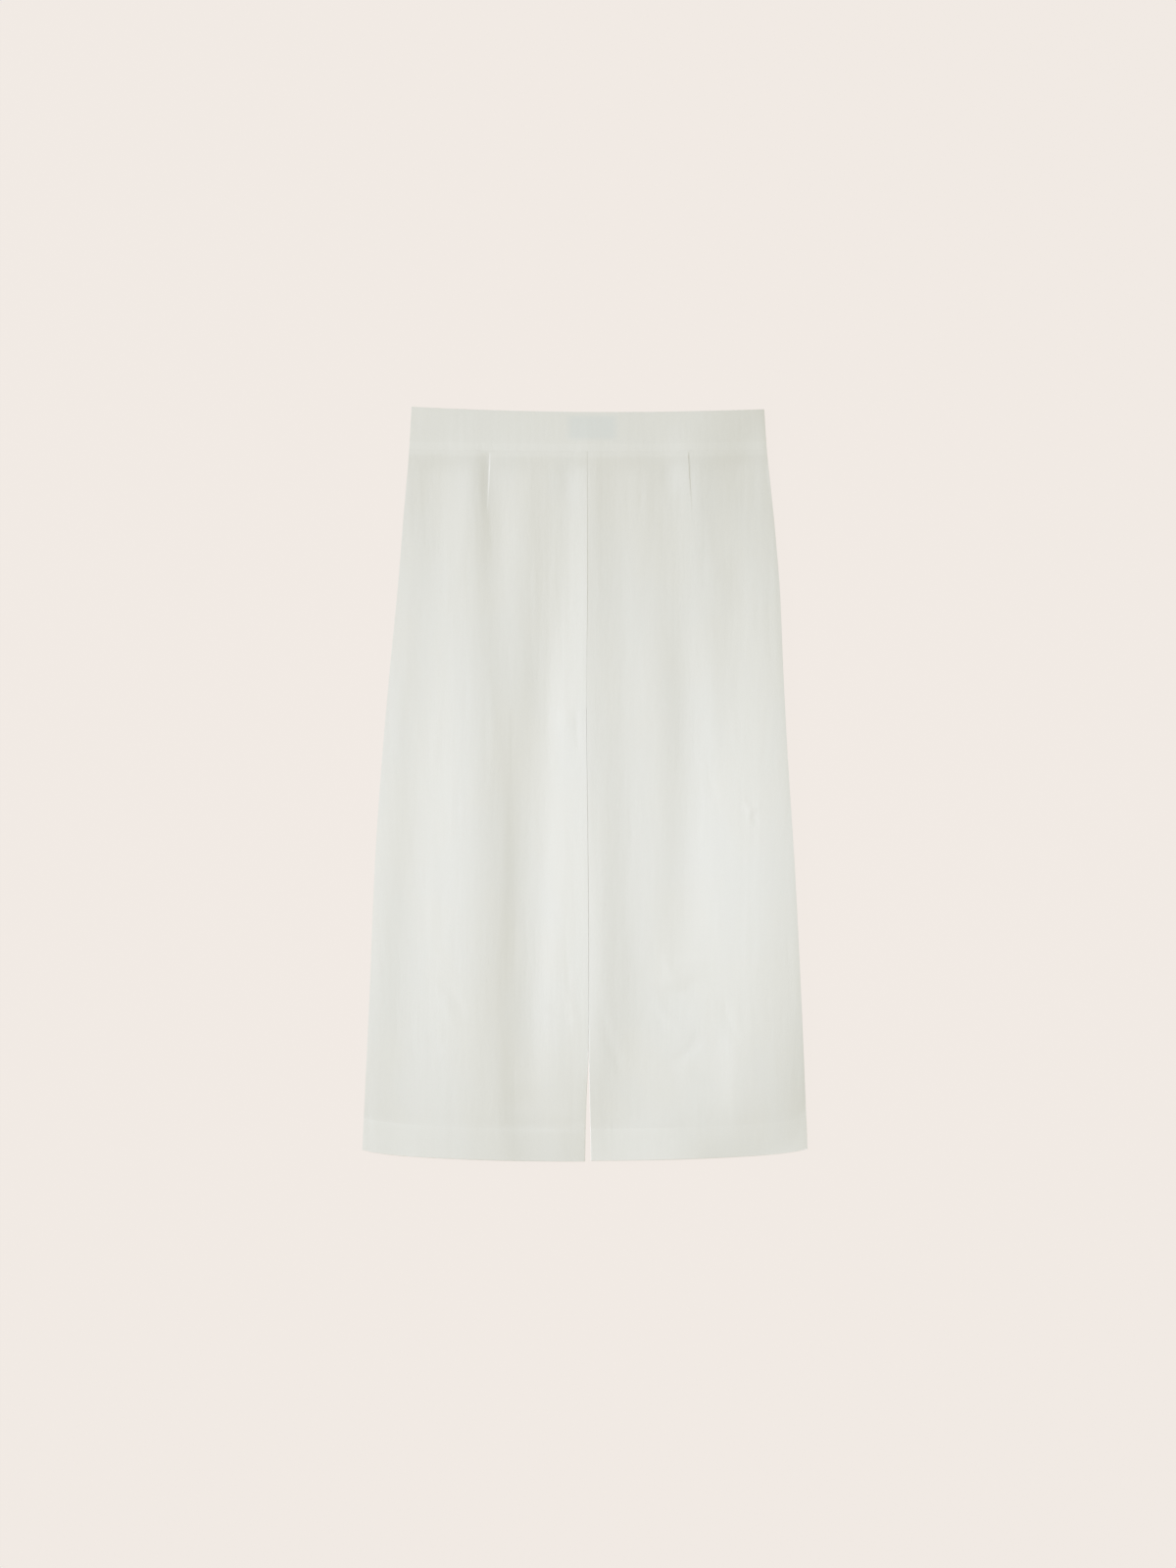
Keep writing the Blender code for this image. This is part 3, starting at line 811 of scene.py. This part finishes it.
# %% Stops
EDGE_STOPS = (0.0, 0.06, 0.24, 0.5, 0.85, 1.25, 1.7, 2.2, 2.8, 3.5, 4.5, 5.8)


def stops(first, last, step, length, extra=()):
    """Two arrays, fixed and share, so that a place is fixed + share * length. first and last are distances
    from either end, and extra are shares that are packed closely around, with their offsets."""
    start, end = first[-1], last[-1]
    count = round((length - start - end) / step)
    inner = np.arange(1, count) / count
    for middle, offsets in extra:
        inner = inner[abs(inner - middle) * length > max(offsets) + step / 3]
        inner = np.sort(np.concatenate([inner, middle + np.array(offsets) / length]))
    fixed = np.concatenate([first, start - (start + end) * inner, -np.array(last)[::-1]])
    share = np.concatenate([np.zeros(len(first)), inner, np.ones(len(last))])
    return fixed, share


print("places across a 200 mm panel:", len(stops(EDGE_STOPS, EDGE_STOPS, 1.6, 200)[0]))

# %% [markdown]
# ## The front at the waist
#
# At the waist the front is held by its band, so it lies nearly level and a little above the folds below.
# It sinks at the left side, stands a little over the label behind it, and takes up a share of the folds,
# which fades up the band.

# %% Waist of the front
WAIST_LIE = 1.84
WAIST_SINK = 3.56
WAIST_SINK_FROM = 120.0
WAIST_SINK_RUN = 100.0
WAIST_FOLDS_KEPT = 0.4
WAIST_MEAN_LIE = 4.4
BAND_SETTLE = 44.0
LABEL_CENTRE = (4.0, 372.0)
LABEL_SIZE = (48.0, 22.0)
LABEL_CLEAR = 4.0
LABEL_RISE = 0.3
LABEL_SETTLE = {-1: 90.0, 1: 36.0}


def waist_lie(x, above_seam):
    """The middle of the front's cloth at the waist seam and in the band above it."""
    off = x - LABEL_CENTRE[0]
    settle = np.where(off < 0, LABEL_SETTLE[-1], LABEL_SETTLE[1])
    label_rise = LABEL_RISE * (1 - ease((abs(off) - LABEL_SIZE[0] / 2 - LABEL_CLEAR) / settle))
    sunk = ease((x - WAIST_SINK_FROM) / WAIST_SINK_RUN)
    at_seam = np.full(x.shape, float(STATIONS[0]))
    folds = np.where(x < LEFT_FOLDS[0].x[0], height_between(RIGHT_FOLDS, x, at_seam),
                     height_between(LEFT_FOLDS, x, at_seam))
    kept = WAIST_FOLDS_KEPT * (1 - ease(above_seam / BAND_SETTLE))
    lie = WAIST_LIE + WAIST_SINK * (1 - sunk) + label_rise + kept * (folds - WAIST_MEAN_LIE)
    return rest_on(lie, LEAST_OVER_TURN_UPS)


print("waist seam from the right side to the left in mm:",
      waist_lie(np.array([-180.0, -90.0, 4.0, 90.0, 186.0]), 0.0).round(2))

# %% [markdown]
# ## The line above the hem
#
# A hem is pressed from outside, and the edge of its turn-up leaves a faint line there: a shallow hollow
# above and a low step up below. It is plainer in some places than in others.

# %% Line of the turn-up
HEM_TURN_UP = 35.0
HEM_LINE_AT = 33.2
HEM_STEP = 0.2
HEM_STEP_RUN = 2.2
HEM_HOLLOW = 0.12
HEM_HOLLOW_REACH = 5.0
HEM_LINE_X = (240, 215, 180, 90, 45, 15, -30, -60, -95, -125, -150, -180, -205, -240)
HEM_LINE_SHOWS = (0.3, 0.3, 0.1, 0.1, 0.3, 0.4, 1.2, 1.3, 0.7, 0.5, 0.4, 0.4, 0.9, 0.9)


def hem_line(x, above_hem):
    shows = smooth_curve(HEM_LINE_X, HEM_LINE_SHOWS, x)
    above_line = above_hem - HEM_LINE_AT
    hollow = HEM_HOLLOW * np.exp(-((above_line - HEM_HOLLOW_REACH) / HEM_HOLLOW_REACH) ** 2)
    return shows * (HEM_STEP * (1 - ease(above_line / HEM_STEP_RUN + 0.5)) - hollow)


print("step under the line, where it is plainest, in mm:", round(float(hem_line(-60, 20)), 2))

# %% [markdown]
# ## Darts
#
# A dart is a fold sewn from the waist to a point. Outside its stitching the cloth dips towards it, and
# inside, on the side of the centre, it lies a little higher. Towards the point the dip gets narrower, and
# the last part of the dart fades into the cloth.

# %% Dart
DART_LENGTH = 73.0
DartShape = namedtuple("DartShape", "across outer outer_reach inner inner_reach")
DARTS = {
    -1: DartShape(0.455, -0.6, 10.0, -0.36, 16.0),
    1: DartShape(0.439, -0.14, 8.0, 0.12, 14.0),
}
DART_EDGE = 0.5
DART_NARROWS = 0.65
DART_HOLDS = 0.3
DART_OPENING = 6.0


def dart_height(side, x, y, below_seam):
    """The step along a dart, which opens just below the waist seam."""
    dart = DARTS[side]
    inward = (x - between(side_x(side, y), centre_x(side, y), dart.across)) * -side
    outer_reach = dart.outer_reach * (1 - DART_NARROWS * np.clip(below_seam / DART_LENGTH, 0, 1))
    outer = dart.outer * np.exp(-(np.maximum(-inward, 0) / outer_reach) ** 2)
    inner = dart.inner * np.exp(-np.maximum(inward, 0) / dart.inner_reach)
    fading = ease((below_seam / DART_LENGTH - DART_HOLDS) / (1 - DART_HOLDS))
    shows = (1 - fading) * ease(below_seam / DART_OPENING)
    return shows * between(outer, inner, ease(0.5 + 0.5 * inward / DART_EDGE))


for side, dart in DARTS.items():
    at_x = between(side_x(side, 320), centre_x(side, 320), dart.across)
    print("dart of side", side, "at x", round(float(at_x), 1), "mm, step", dart.inner - dart.outer, "mm")

# %% [markdown]
# ## A whole front
#
# The folds, the creases, the streaks, the dart and the line of the turn-up add up to one height. Its fold
# lines are let down a little as a whole. Just below the waist seam the folds give way to the lie at the
# waist, and the pressed allowances make a low ridge along the seam. The streaks fade out at the centre
# line, so that two panels meet there at one height.

# %% Front height
FRONT_LET_DOWN = 0.6
STREAK_CLEAR = 8.0
WAIST_RUN = 24.0
ALLOWANCE_RIDGE = 0.34
RIDGE_LEVEL = 3.0
RIDGE_FALL = 13.0
TURN_UP_RUN = 12.0


def front_lie(side, x, y, below_seam, above_hem):
    """The middle of a front panel's cloth before its sewn edges are brought down."""
    lie = soft_height(RIGHT_FOLDS if side < 0 else LEFT_FOLDS, x, y)
    lie += sum(crease_height(crease, x, y) for crease in FRONT_CREASES)
    off_seam = ease(abs(x - centre_x(side, y)) / STREAK_CLEAR)
    lie += streak_heights(x, y, STREAK_SEED[side]) * off_seam
    past_ridge = below_seam - RIDGE_LEVEL
    lie = between(waist_lie(x, 0.0), lie - FRONT_LET_DOWN, ease(past_ridge / WAIST_RUN))
    lie += ALLOWANCE_RIDGE * (1 - ease(past_ridge / RIDGE_FALL))
    lie += dart_height(side, x, y, below_seam) + hem_line(x, above_hem)
    least = between(LEAST_OVER_TURN_UPS, LEAST_OVER_BACK, ease((above_hem - HEM_TURN_UP) / TURN_UP_RUN))
    return rest_on(lie, least)


def front_height(side, x, y, from_side, from_centre, below_seam, above_hem):
    lie = front_lie(side, x, y, below_seam, above_hem)
    return lie, rolled(side, lie, FRONT_RIM_Z, from_side, from_centre, y)


# %% [markdown]
# ## Leg panels as grids
#
# Front and back legs are laid out by one function. Rows run down from the waist seam, round the fold of
# the hem and 35 mm back up inside. The inner layer is a little narrower than the outer one, so that it
# clears the rolled edges. The back's rise seam lies a little beside the front's, so that nothing under the
# garment shows through the hairline between two panels.

# %% Rows that run round a fold
FOLD_STEPS = 8
FOLD_RUN = 0.15
INSET = 3.6


def fold_rows(outside_count, inside_count):
    """How far the cloth has turned in each row, from 0 on the outside to half a turn on the inside, and
    which rows lie outside, on the fold and inside."""
    turning = math.pi * np.arange(1, FOLD_STEPS + 1) / FOLD_STEPS
    angle = np.concatenate([np.zeros(outside_count), turning, np.full(inside_count, math.pi)])
    fold_end = outside_count + FOLD_STEPS
    return angle, slice(0, outside_count), slice(outside_count, fold_end), slice(fold_end, None)


print("turns of a fold in degrees:", np.degrees(fold_rows(1, 1)[0]).round(1))

# %% Leg maker
PANEL_WIDTH = 205.0
PANEL_LENGTH = 735.0
HAIRLINE = 0.02
BACK_SEAM_SHIFT = 0.8
SEAM_STOPS = (0.0, 0.07, 0.25, 0.55, 1.0, 1.6, 2.4, 3.4, 4.8, 6.5, 8.5)
HEM_STOPS = (0.0, 0.1, 0.8, 2.0, 4.0)
DART_OFFSETS = (-2.4, -1.6, -1.0, -0.6, -0.3, 0.0, 0.3, 0.6, 1.0, 1.6, 2.4)
HEM_LINE_OFFSETS = (-3.0, -2.0, -1.2, -0.6, 0.0, 0.6, 1.2, 2.0, 3.0)
TURN_UP_STOPS = np.concatenate([np.arange(1, 5), np.linspace(7, HEM_TURN_UP, 9)])
COLUMN_STEP = {"front": 1.6, "back": 2.4}
ROW_STEP = {"front": 3.0, "back": 4.0}


def leg_panel(name, side, face, height_of, turn, material):
    """height_of gives the cloth's lie and its rolled height. turn says where the turn-up lies: 1 above
    the panel, -1 below it."""
    dart = ((DARTS[side].across, DART_OFFSETS),)
    fixed, share = stops(EDGE_STOPS, EDGE_STOPS, COLUMN_STEP[face], PANEL_WIDTH, extra=dart)
    if side > 0:
        fixed, share = fixed[::-1], share[::-1]
    hem_edge = (((PANEL_LENGTH - HEM_LINE_AT) / PANEL_LENGTH, HEM_LINE_OFFSETS),)
    down_fixed, down_share = stops(SEAM_STOPS, HEM_STOPS, ROW_STEP[face], PANEL_LENGTH, extra=hem_edge)
    angle, outside, fold, inside = fold_rows(len(down_fixed), len(TURN_UP_STOPS))

    across = share + fixed / PANEL_WIDTH
    outline_edge = CLOTH / 2 + FOLD_RUN
    fold_y = hem_y(side, np.clip(across, 0, 1)) + outline_edge
    seam_share = across / 2 if side < 0 else 1 - across / 2
    seam_y = waist_y("seam_y", seam_share) - HAIRLINE / 2
    y = np.empty((len(angle), len(fixed)))
    y[outside] = seam_y - down_fixed[:, None] - down_share[:, None] * (seam_y - fold_y)
    y[fold] = fold_y - FOLD_RUN * np.sin(angle[fold])[:, None]
    y[inside] = fold_y + TURN_UP_STOPS[:, None]

    on_outside = np.maximum(y, fold_y)
    start, end = side_x(side, on_outside), centre_x(side, on_outside)
    if face == "back":
        end = end + BACK_SEAM_SHIFT * (1 - open_below(on_outside))
    tucked = (INSET * ease(angle / math.pi))[:, None]
    panel_width = abs(end - start) - CLOTH / 2 - seam_inset(on_outside) - 2 * tucked
    from_side = fixed + share * panel_width
    x = start - side * (CLOTH / 2 + tucked + from_side)
    from_centre = panel_width - from_side
    below_seam, above_hem = seam_y - on_outside, on_outside - fold_y
    lie, height = height_of(side, x, on_outside, from_side, from_centre, below_seam, above_hem)
    folded = 0.5 - 0.5 * np.cos(angle)[:, None]
    z = between(height, lie + turn * LAYER, folded)

    along = above_hem.copy()
    along[inside] *= -1
    maps = {"cloth": (x, along), "seams": (below_seam, from_centre)}
    return cloth_shell(name, x, y, z, maps, material)


# %% Front legs
RIGHT_TURN_UP_TOUCHES = (-250, -176)
LEFT_TURN_UP_TOUCHES = (-20, 96)

right_front, right_front_area = leg_panel(
    "right_front_cloth", -1, "front", front_height, -1,
    crepe("right front crepe", hem=HEM_LINE_AT, touches=RIGHT_TURN_UP_TOUCHES, front=True))
left_front, left_front_area = leg_panel(
    "left_front_cloth", 1, "front", front_height, -1,
    crepe("left front crepe", hem=HEM_LINE_AT, touches=LEFT_TURN_UP_TOUCHES, front=True))

# %% [markdown]
# ## Back legs
#
# The back lies on the surface with the weight of the garment on it, so its outer face is flat there. It
# keeps only low soft creases, where the cloth stands a fraction of a millimetre off the surface: one falls
# from each hip, others cross behind the knees. Its edges curl up to meet the fronts.

# %% Back legs
BACK_CREASES = (
    Crease("right hip fall", -96, 338, -104, 150, 4, 9, 13, 0.42),
    Crease("right seat", -40, 320, -28, 120, -5, 12, 9, 0.36),
    Crease("right outer leg", -160, 220, -172, -60, 6, 10, 14, 0.40),
    Crease("right knee", -150, 40, -60, -20, 8, 8, 12, 0.30),
    Crease("right leg", -86, 60, -96, -300, -6, 14, 10, 0.45),
    Crease("right calf", -190, -150, -120, -230, 5, 8, 9, 0.28),
    Crease("right inner leg", -30, 10, -38, -280, 3, 9, 7, 0.34),
    Crease("left hip fall", 100, 336, 112, 170, -4, 13, 9, 0.40),
    Crease("left seat", 46, 310, 34, 96, 4, 9, 12, 0.38),
    Crease("left outer leg", 166, 240, 180, -20, -5, 12, 9, 0.38),
    Crease("left knee", 60, 0, 158, -58, -7, 9, 8, 0.30),
    Crease("left leg", 94, 70, 104, -310, 5, 10, 14, 0.46),
    Crease("left calf", 120, -190, 196, -130, 4, 8, 9, 0.26),
    Crease("left inner leg", 36, -10, 44, -250, -3, 8, 9, 0.32),
)
BACK_RELIEF_LIMIT = 0.4
BACK_RELIEF_RUN = 30.0


def back_height(side, x, y, from_side, from_centre, below_seam, above_hem):
    relief = sum(crease_height(crease, x, y) for crease in BACK_CREASES)
    relief = BACK_RELIEF_LIMIT * np.tanh(relief / BACK_RELIEF_LIMIT)
    relief *= ease(below_seam / BACK_RELIEF_RUN) * ease((above_hem - HEM_TURN_UP) / BACK_RELIEF_RUN)
    lie = BACK_Z + relief
    return lie, rolled(side, lie, BACK_RIM_Z, from_side, from_centre, y)


right_back, right_back_area = leg_panel(
    "right_back_cloth", -1, "back", back_height, 1, crepe("right back crepe", hem=HEM_TURN_UP))
left_back, left_back_area = leg_panel(
    "left_back_cloth", 1, "back", back_height, 1, crepe("left back crepe", hem=HEM_TURN_UP))

# %% [markdown]
# ## Waistband
#
# Each half of the waistband is one strip, folded along its top edge and closed along the waist seam, with
# interlining inside, so it lies flatter than the legs. The seam allowances are pressed up into it and make
# a low ridge along its lower edge. The front half lies as the waist of the front does, and sinks a little
# more at its left end.

# %% Waistband maker
BAND_WIDTH = 369.0
BAND_DEPTH = 43.0
BAND_COLUMN_STEP = 1.6
BAND_ROW_STEP = 1.2
BAND_SEAM_STOPS = (0.0, 0.07, 0.25, 0.55, 1.0, 1.6, 2.4, 3.4, 4.8)
BAND_TOP_STOPS = (0.0, 0.1, 0.6, 1.4)
FACING_STOPS = np.linspace(0.03, 1.0, 14)
BAND_END_SETTLE = 0.5
BAND_SINKS_AT_MOST = 1.0


def waistband(name, height_of, rim_z, material):
    """height_of gives the lie of the facing and of the band, and where the facing lies: 1 above, -1
    below."""
    fixed, share = stops(EDGE_STOPS, EDGE_STOPS, BAND_COLUMN_STEP, BAND_WIDTH)
    up_fixed, up_share = stops(BAND_SEAM_STOPS, BAND_TOP_STOPS, BAND_ROW_STEP, BAND_DEPTH)
    angle, outside, fold, inside = fold_rows(len(up_fixed), len(FACING_STOPS))

    across = share + fixed / BAND_WIDTH
    top_y = waist_y("top_y", across) - FOLD_RUN - CLOTH / 2
    seam_y = waist_y("seam_y", across) + HAIRLINE / 2
    y = np.empty((len(angle), len(fixed)))
    y[outside] = seam_y + up_fixed[:, None] + up_share[:, None] * (top_y - seam_y)
    y[fold] = top_y + FOLD_RUN * np.sin(angle[fold])[:, None]
    y[inside] = top_y - (top_y - seam_y) * FACING_STOPS[:, None]

    on_outside = np.minimum(y, top_y)
    start, end = side_x(-1, on_outside), side_x(1, on_outside)
    inset = (CLOTH / 2 + INSET * ease(angle / math.pi))[:, None]
    from_right = fixed + share * (end - start - 2 * inset)
    x = start + inset + from_right
    from_left = end - start - 2 * inset - from_right
    above_seam = on_outside - seam_y
    lie, height, turn = height_of(x, above_seam)
    settled = BAND_END_SETTLE * np.exp(-from_left / SIDE_SETTLE_REACH)
    height = sink(height, rim_z, settled, BAND_SINKS_AT_MOST)
    at_side = 2 - quarter(from_right, SIDE_ROLL) - quarter(from_left, SIDE_ROLL)
    folded = 0.5 - 0.5 * np.cos(angle)[:, None]
    z = between(height - (height - rim_z) * at_side, lie + turn * LAYER, folded)

    along = above_seam.copy()
    along[inside] = 2 * (top_y - seam_y) - above_seam[inside]
    flat_y = seam_y.mean() + along
    maps = {"cloth": (x[::-1], flat_y[::-1]), "seams": (from_right[::-1], from_left[::-1])}
    return cloth_shell(name, x[::-1], y[::-1], z[::-1], maps, material)


# %% Both bands
BAND_RIDGE_REACH = 8.0
LABEL_SHADOW_SHIFT = (4.0, -0.5)
LABEL_SHADOW_SPREAD = 1.2


def front_band_height(x, above_seam):
    lie = waist_lie(x, above_seam)
    return lie, lie + ALLOWANCE_RIDGE * np.exp(-(above_seam / BAND_RIDGE_REACH) ** 2), -1


def back_band_height(x, above_seam):
    lie = np.full(x.shape, BACK_Z)
    return lie, lie, 1


# The label's painted shadow lies 4 mm beside the label and 0.5 mm lower, and it spreads a little wider.
label_shadow_centre = (LABEL_CENTRE[0] + LABEL_SHADOW_SHIFT[0], LABEL_CENTRE[1] + LABEL_SHADOW_SHIFT[1])
label_shadow_half_size = (LABEL_SIZE[0] / 2, LABEL_SIZE[1] / 2 + LABEL_SHADOW_SPREAD)
waist_seam = float(waist_y("seam_y", np.linspace(0, 1, 50)).mean())
front_band, front_band_area = waistband(
    "front_band", front_band_height, FRONT_RIM_Z,
    crepe("front band crepe", waist_seam=waist_seam, label=(label_shadow_centre, label_shadow_half_size)))
back_band, back_band_area = waistband(
    "back_band", back_band_height, BACK_RIM_Z, crepe("back band crepe", waist_seam=waist_seam))

# %% [markdown]
# ## Label
#
# A blank woven label is sewn flat to the inside of the back band. Only its shadow shows through the front
# band. It is a strip of tape with its ends turned under, so it is a touch higher there, with a fine rib.

# %% Label
TAPE = 0.5
TAPE_END = 3.0
TAPE_END_RISE = 0.12
TAPE_COLUMNS = 49
TAPE_ROWS = 23
TAPE_WHITE = (0.80, 0.81, 0.80, 1.0)
TAPE_SHADE = (0.74, 0.75, 0.75, 1.0)
RIB = 0.8
RIB_RISE = 0.03
FLECK = Grain(0.4, 0.4, 2.0, 0.5, tone=0.3, rise=0.02)


def tape_finish():
    tape = Finish("label tape", Roughness=0.55, Specular_IOR_Level=0.4, Sheen_Weight=0.1)
    along = tape.flat_place("cloth", 1)
    rib = tape.add("ShaderNodeMath", {"operation": "SINE"}, {0: along * (2 * math.pi / (RIB * MM))})
    fleck = tape.noise(tape.flat_place("cloth"), FLECK)
    tape.feed(tape.shader.inputs["Base Color"], tape.mix(fleck * FLECK.tone, TAPE_WHITE, TAPE_SHADE))
    tape.feed(tape.shader.inputs["Normal"], tape.bump(rib * RIB_RISE + fleck * FLECK.rise))
    return tape.material


def label_tape(name, material):
    half_length, half_width = LABEL_SIZE[0] / 2, LABEL_SIZE[1] / 2
    x, y = np.meshgrid(np.linspace(-half_length, half_length, TAPE_COLUMNS),
                       np.linspace(half_width, -half_width, TAPE_ROWS))
    from_end = half_length - abs(x)
    z = BACK_Z + 2 * LAYER + TAPE_END_RISE * (1 - ease(from_end / TAPE_END))
    maps = {"cloth": (x, y), "seams": (from_end, from_end)}
    return cloth_shell(name, x + LABEL_CENTRE[0], y + LABEL_CENTRE[1], z, maps, material, thickness=TAPE)


label, label_area = label_tape("label_tape", tape_finish())

# %% [markdown]
# ## Floor
#
# The floor is a pale studio sweep that gives off most of its own light, so it stays one even tone and
# takes almost no shadow. It lies a hair below the cloth, so that the two never share a face.

# %% Floor
FLOOR_TONE = (0.884, 0.826, 0.779, 1.0)
FLOOR_GLOW = 0.98
FLOOR_HALF = 60.0
FLOOR_Z = -0.0004


def studio_floor():
    mesh = bpy.data.meshes.new("floor")
    half, below = FLOOR_HALF, FLOOR_Z
    corners = [(-half, -half, below), (half, -half, below), (half, half, below), (-half, half, below)]
    mesh.from_pydata(corners, [], [(0, 1, 2, 3)])
    floor = bpy.data.objects.new("floor", mesh)
    bpy.context.scene.collection.objects.link(floor)
    paint = Finish("floor paint", Base_Color=FLOOR_TONE, Roughness=1.0, Specular_IOR_Level=0.0)
    matte = Value(paint, paint.shader.outputs[0])
    glow = paint.add("ShaderNodeEmission", {}, {"Color": FLOOR_TONE, "Strength": 1.0})
    surface = paint.add("ShaderNodeMixShader", {}, {0: FLOOR_GLOW, 1: matte, 2: glow})
    paint.feed(paint.tree.nodes["Material Output"].inputs["Surface"], surface)
    mesh.materials.append(paint.material)


studio_floor()
print("floor in m:", 2 * FLOOR_HALF, "square")

# %% [markdown]
# ## What each piece stands for
#
# Each piece is attached to the one body of the garment, since nothing here moves on its own, and the
# packed node that it stands for is hidden. Its row also gives a slot, the size of its cut in metres, the
# area of its cloth and what it rests on. The rim adds a little to what is measured on a small piece, so
# the area is capped at its cut.

# %% Tie the pieces to the frame
LEG_CUT = (0.240, 0.785)
BAND_CUT = (0.385, 0.090)
LABEL_CUT = (0.048, 0.022)
CutPiece = namedtuple("CutPiece", "piece node slot width length area rests_on")
CUT_PIECES = (
    CutPiece(right_back, "right_back_leg", "back_cloth", *LEG_CUT, right_back_area, ["floor"]),
    CutPiece(left_back, "left_back_leg", "back_cloth", *LEG_CUT, left_back_area, ["floor"]),
    CutPiece(back_band, "back_waistband", "back_band_cloth", *BAND_CUT, back_band_area, ["floor"]),
    CutPiece(label, "waistband_label", "label_tape", *LABEL_CUT, label_area, [back_band]),
    CutPiece(right_front, "right_front_leg", "front_cloth", *LEG_CUT, right_front_area, [right_back]),
    CutPiece(left_front, "left_front_leg", "front_cloth", *LEG_CUT, left_front_area, [left_back]),
    CutPiece(front_band, "front_waistband", "front_band_cloth", *BAND_CUT, front_band_area, [back_band]),
)


def tie_to_frame(cut):
    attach(cut.piece, "root")
    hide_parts(cut.node)
    area = min(cut.area, cut.width * cut.length)


for cut in CUT_PIECES:
    tie_to_frame(cut)
    print(cut.piece.name, "stands for", cut.node)

# %% [markdown]
# ## Light
#
# Three lights show the folds. A broad cool lamp stands low at -X, a little towards the waist, and rakes
# across the cloth, so what rises towards +X turns bright. A long box hangs low across the garment, below
# its middle, and fades towards the waist and the hems. The rest is a warm, even sky.

# %% Lights
KEY_ELEVATION = math.radians(18.5)
KEY_TURN = math.radians(17)
KEY_DISTANCE = 4.7
KEY_SIZE = (1.8, 1.8)
KEY_SHARE = 1.13
BOX_HEIGHT = 0.7
BOX_CENTRE = (0.35, -0.107)
BOX_SIZE = (1.4, 0.2)
BOX_POWER = 2.7
LAMP_COLOUR = (0.761, 0.80, 1.0)
SKY_SHARE = 0.474
SKY_COLOUR = (1.0, 0.961, 0.748)


def lamp(name, place, target, size, power):
    light = bpy.data.lights.new(name, "AREA")
    light.shape = "RECTANGLE"
    light.size, light.size_y = size
    light.energy = power
    light.color = LAMP_COLOUR
    holder = bpy.data.objects.new(name, light)
    holder.location = place
    holder.rotation_euler = (Vector(target) - Vector(place)).to_track_quat("-Z", "Y").to_euler()
    holder.visible_camera = False
    bpy.context.scene.collection.objects.link(holder)
    print(f"{name}: {power:.1f} W")


def lamp_power(share, distance):
    """The power that gives a facing white surface this share of full brightness."""
    return share * math.pi ** 2 * distance ** 2


def light_studio():
    level = KEY_DISTANCE * math.cos(KEY_ELEVATION)
    height = KEY_DISTANCE * math.sin(KEY_ELEVATION)
    place = (-level * math.cos(KEY_TURN), level * math.sin(KEY_TURN), height)
    lamp("raking lamp", place, (0, 0, 0), KEY_SIZE, lamp_power(KEY_SHARE, KEY_DISTANCE))
    lamp("overhead box", (*BOX_CENTRE, BOX_HEIGHT), (*BOX_CENTRE, 0), BOX_SIZE, BOX_POWER)
    world = bpy.data.worlds.new("studio sky")
    world.use_nodes = True
    sky = world.node_tree.nodes["Background"]
    sky.inputs["Color"].default_value = (*SKY_COLOUR, 1.0)
    sky.inputs["Strength"].default_value = SKY_SHARE
    bpy.context.scene.world = world
    bpy.context.scene.view_settings.view_transform = "Standard"


light_studio()

# %% [markdown]
# ## Last update
#
# The finished shells have to stay in the box of the packed model, apart from a little that cloth may stand
# proud. Last, the scene is brought up to date.

# %% Bring the scene up to date
bpy.context.view_layer.update()
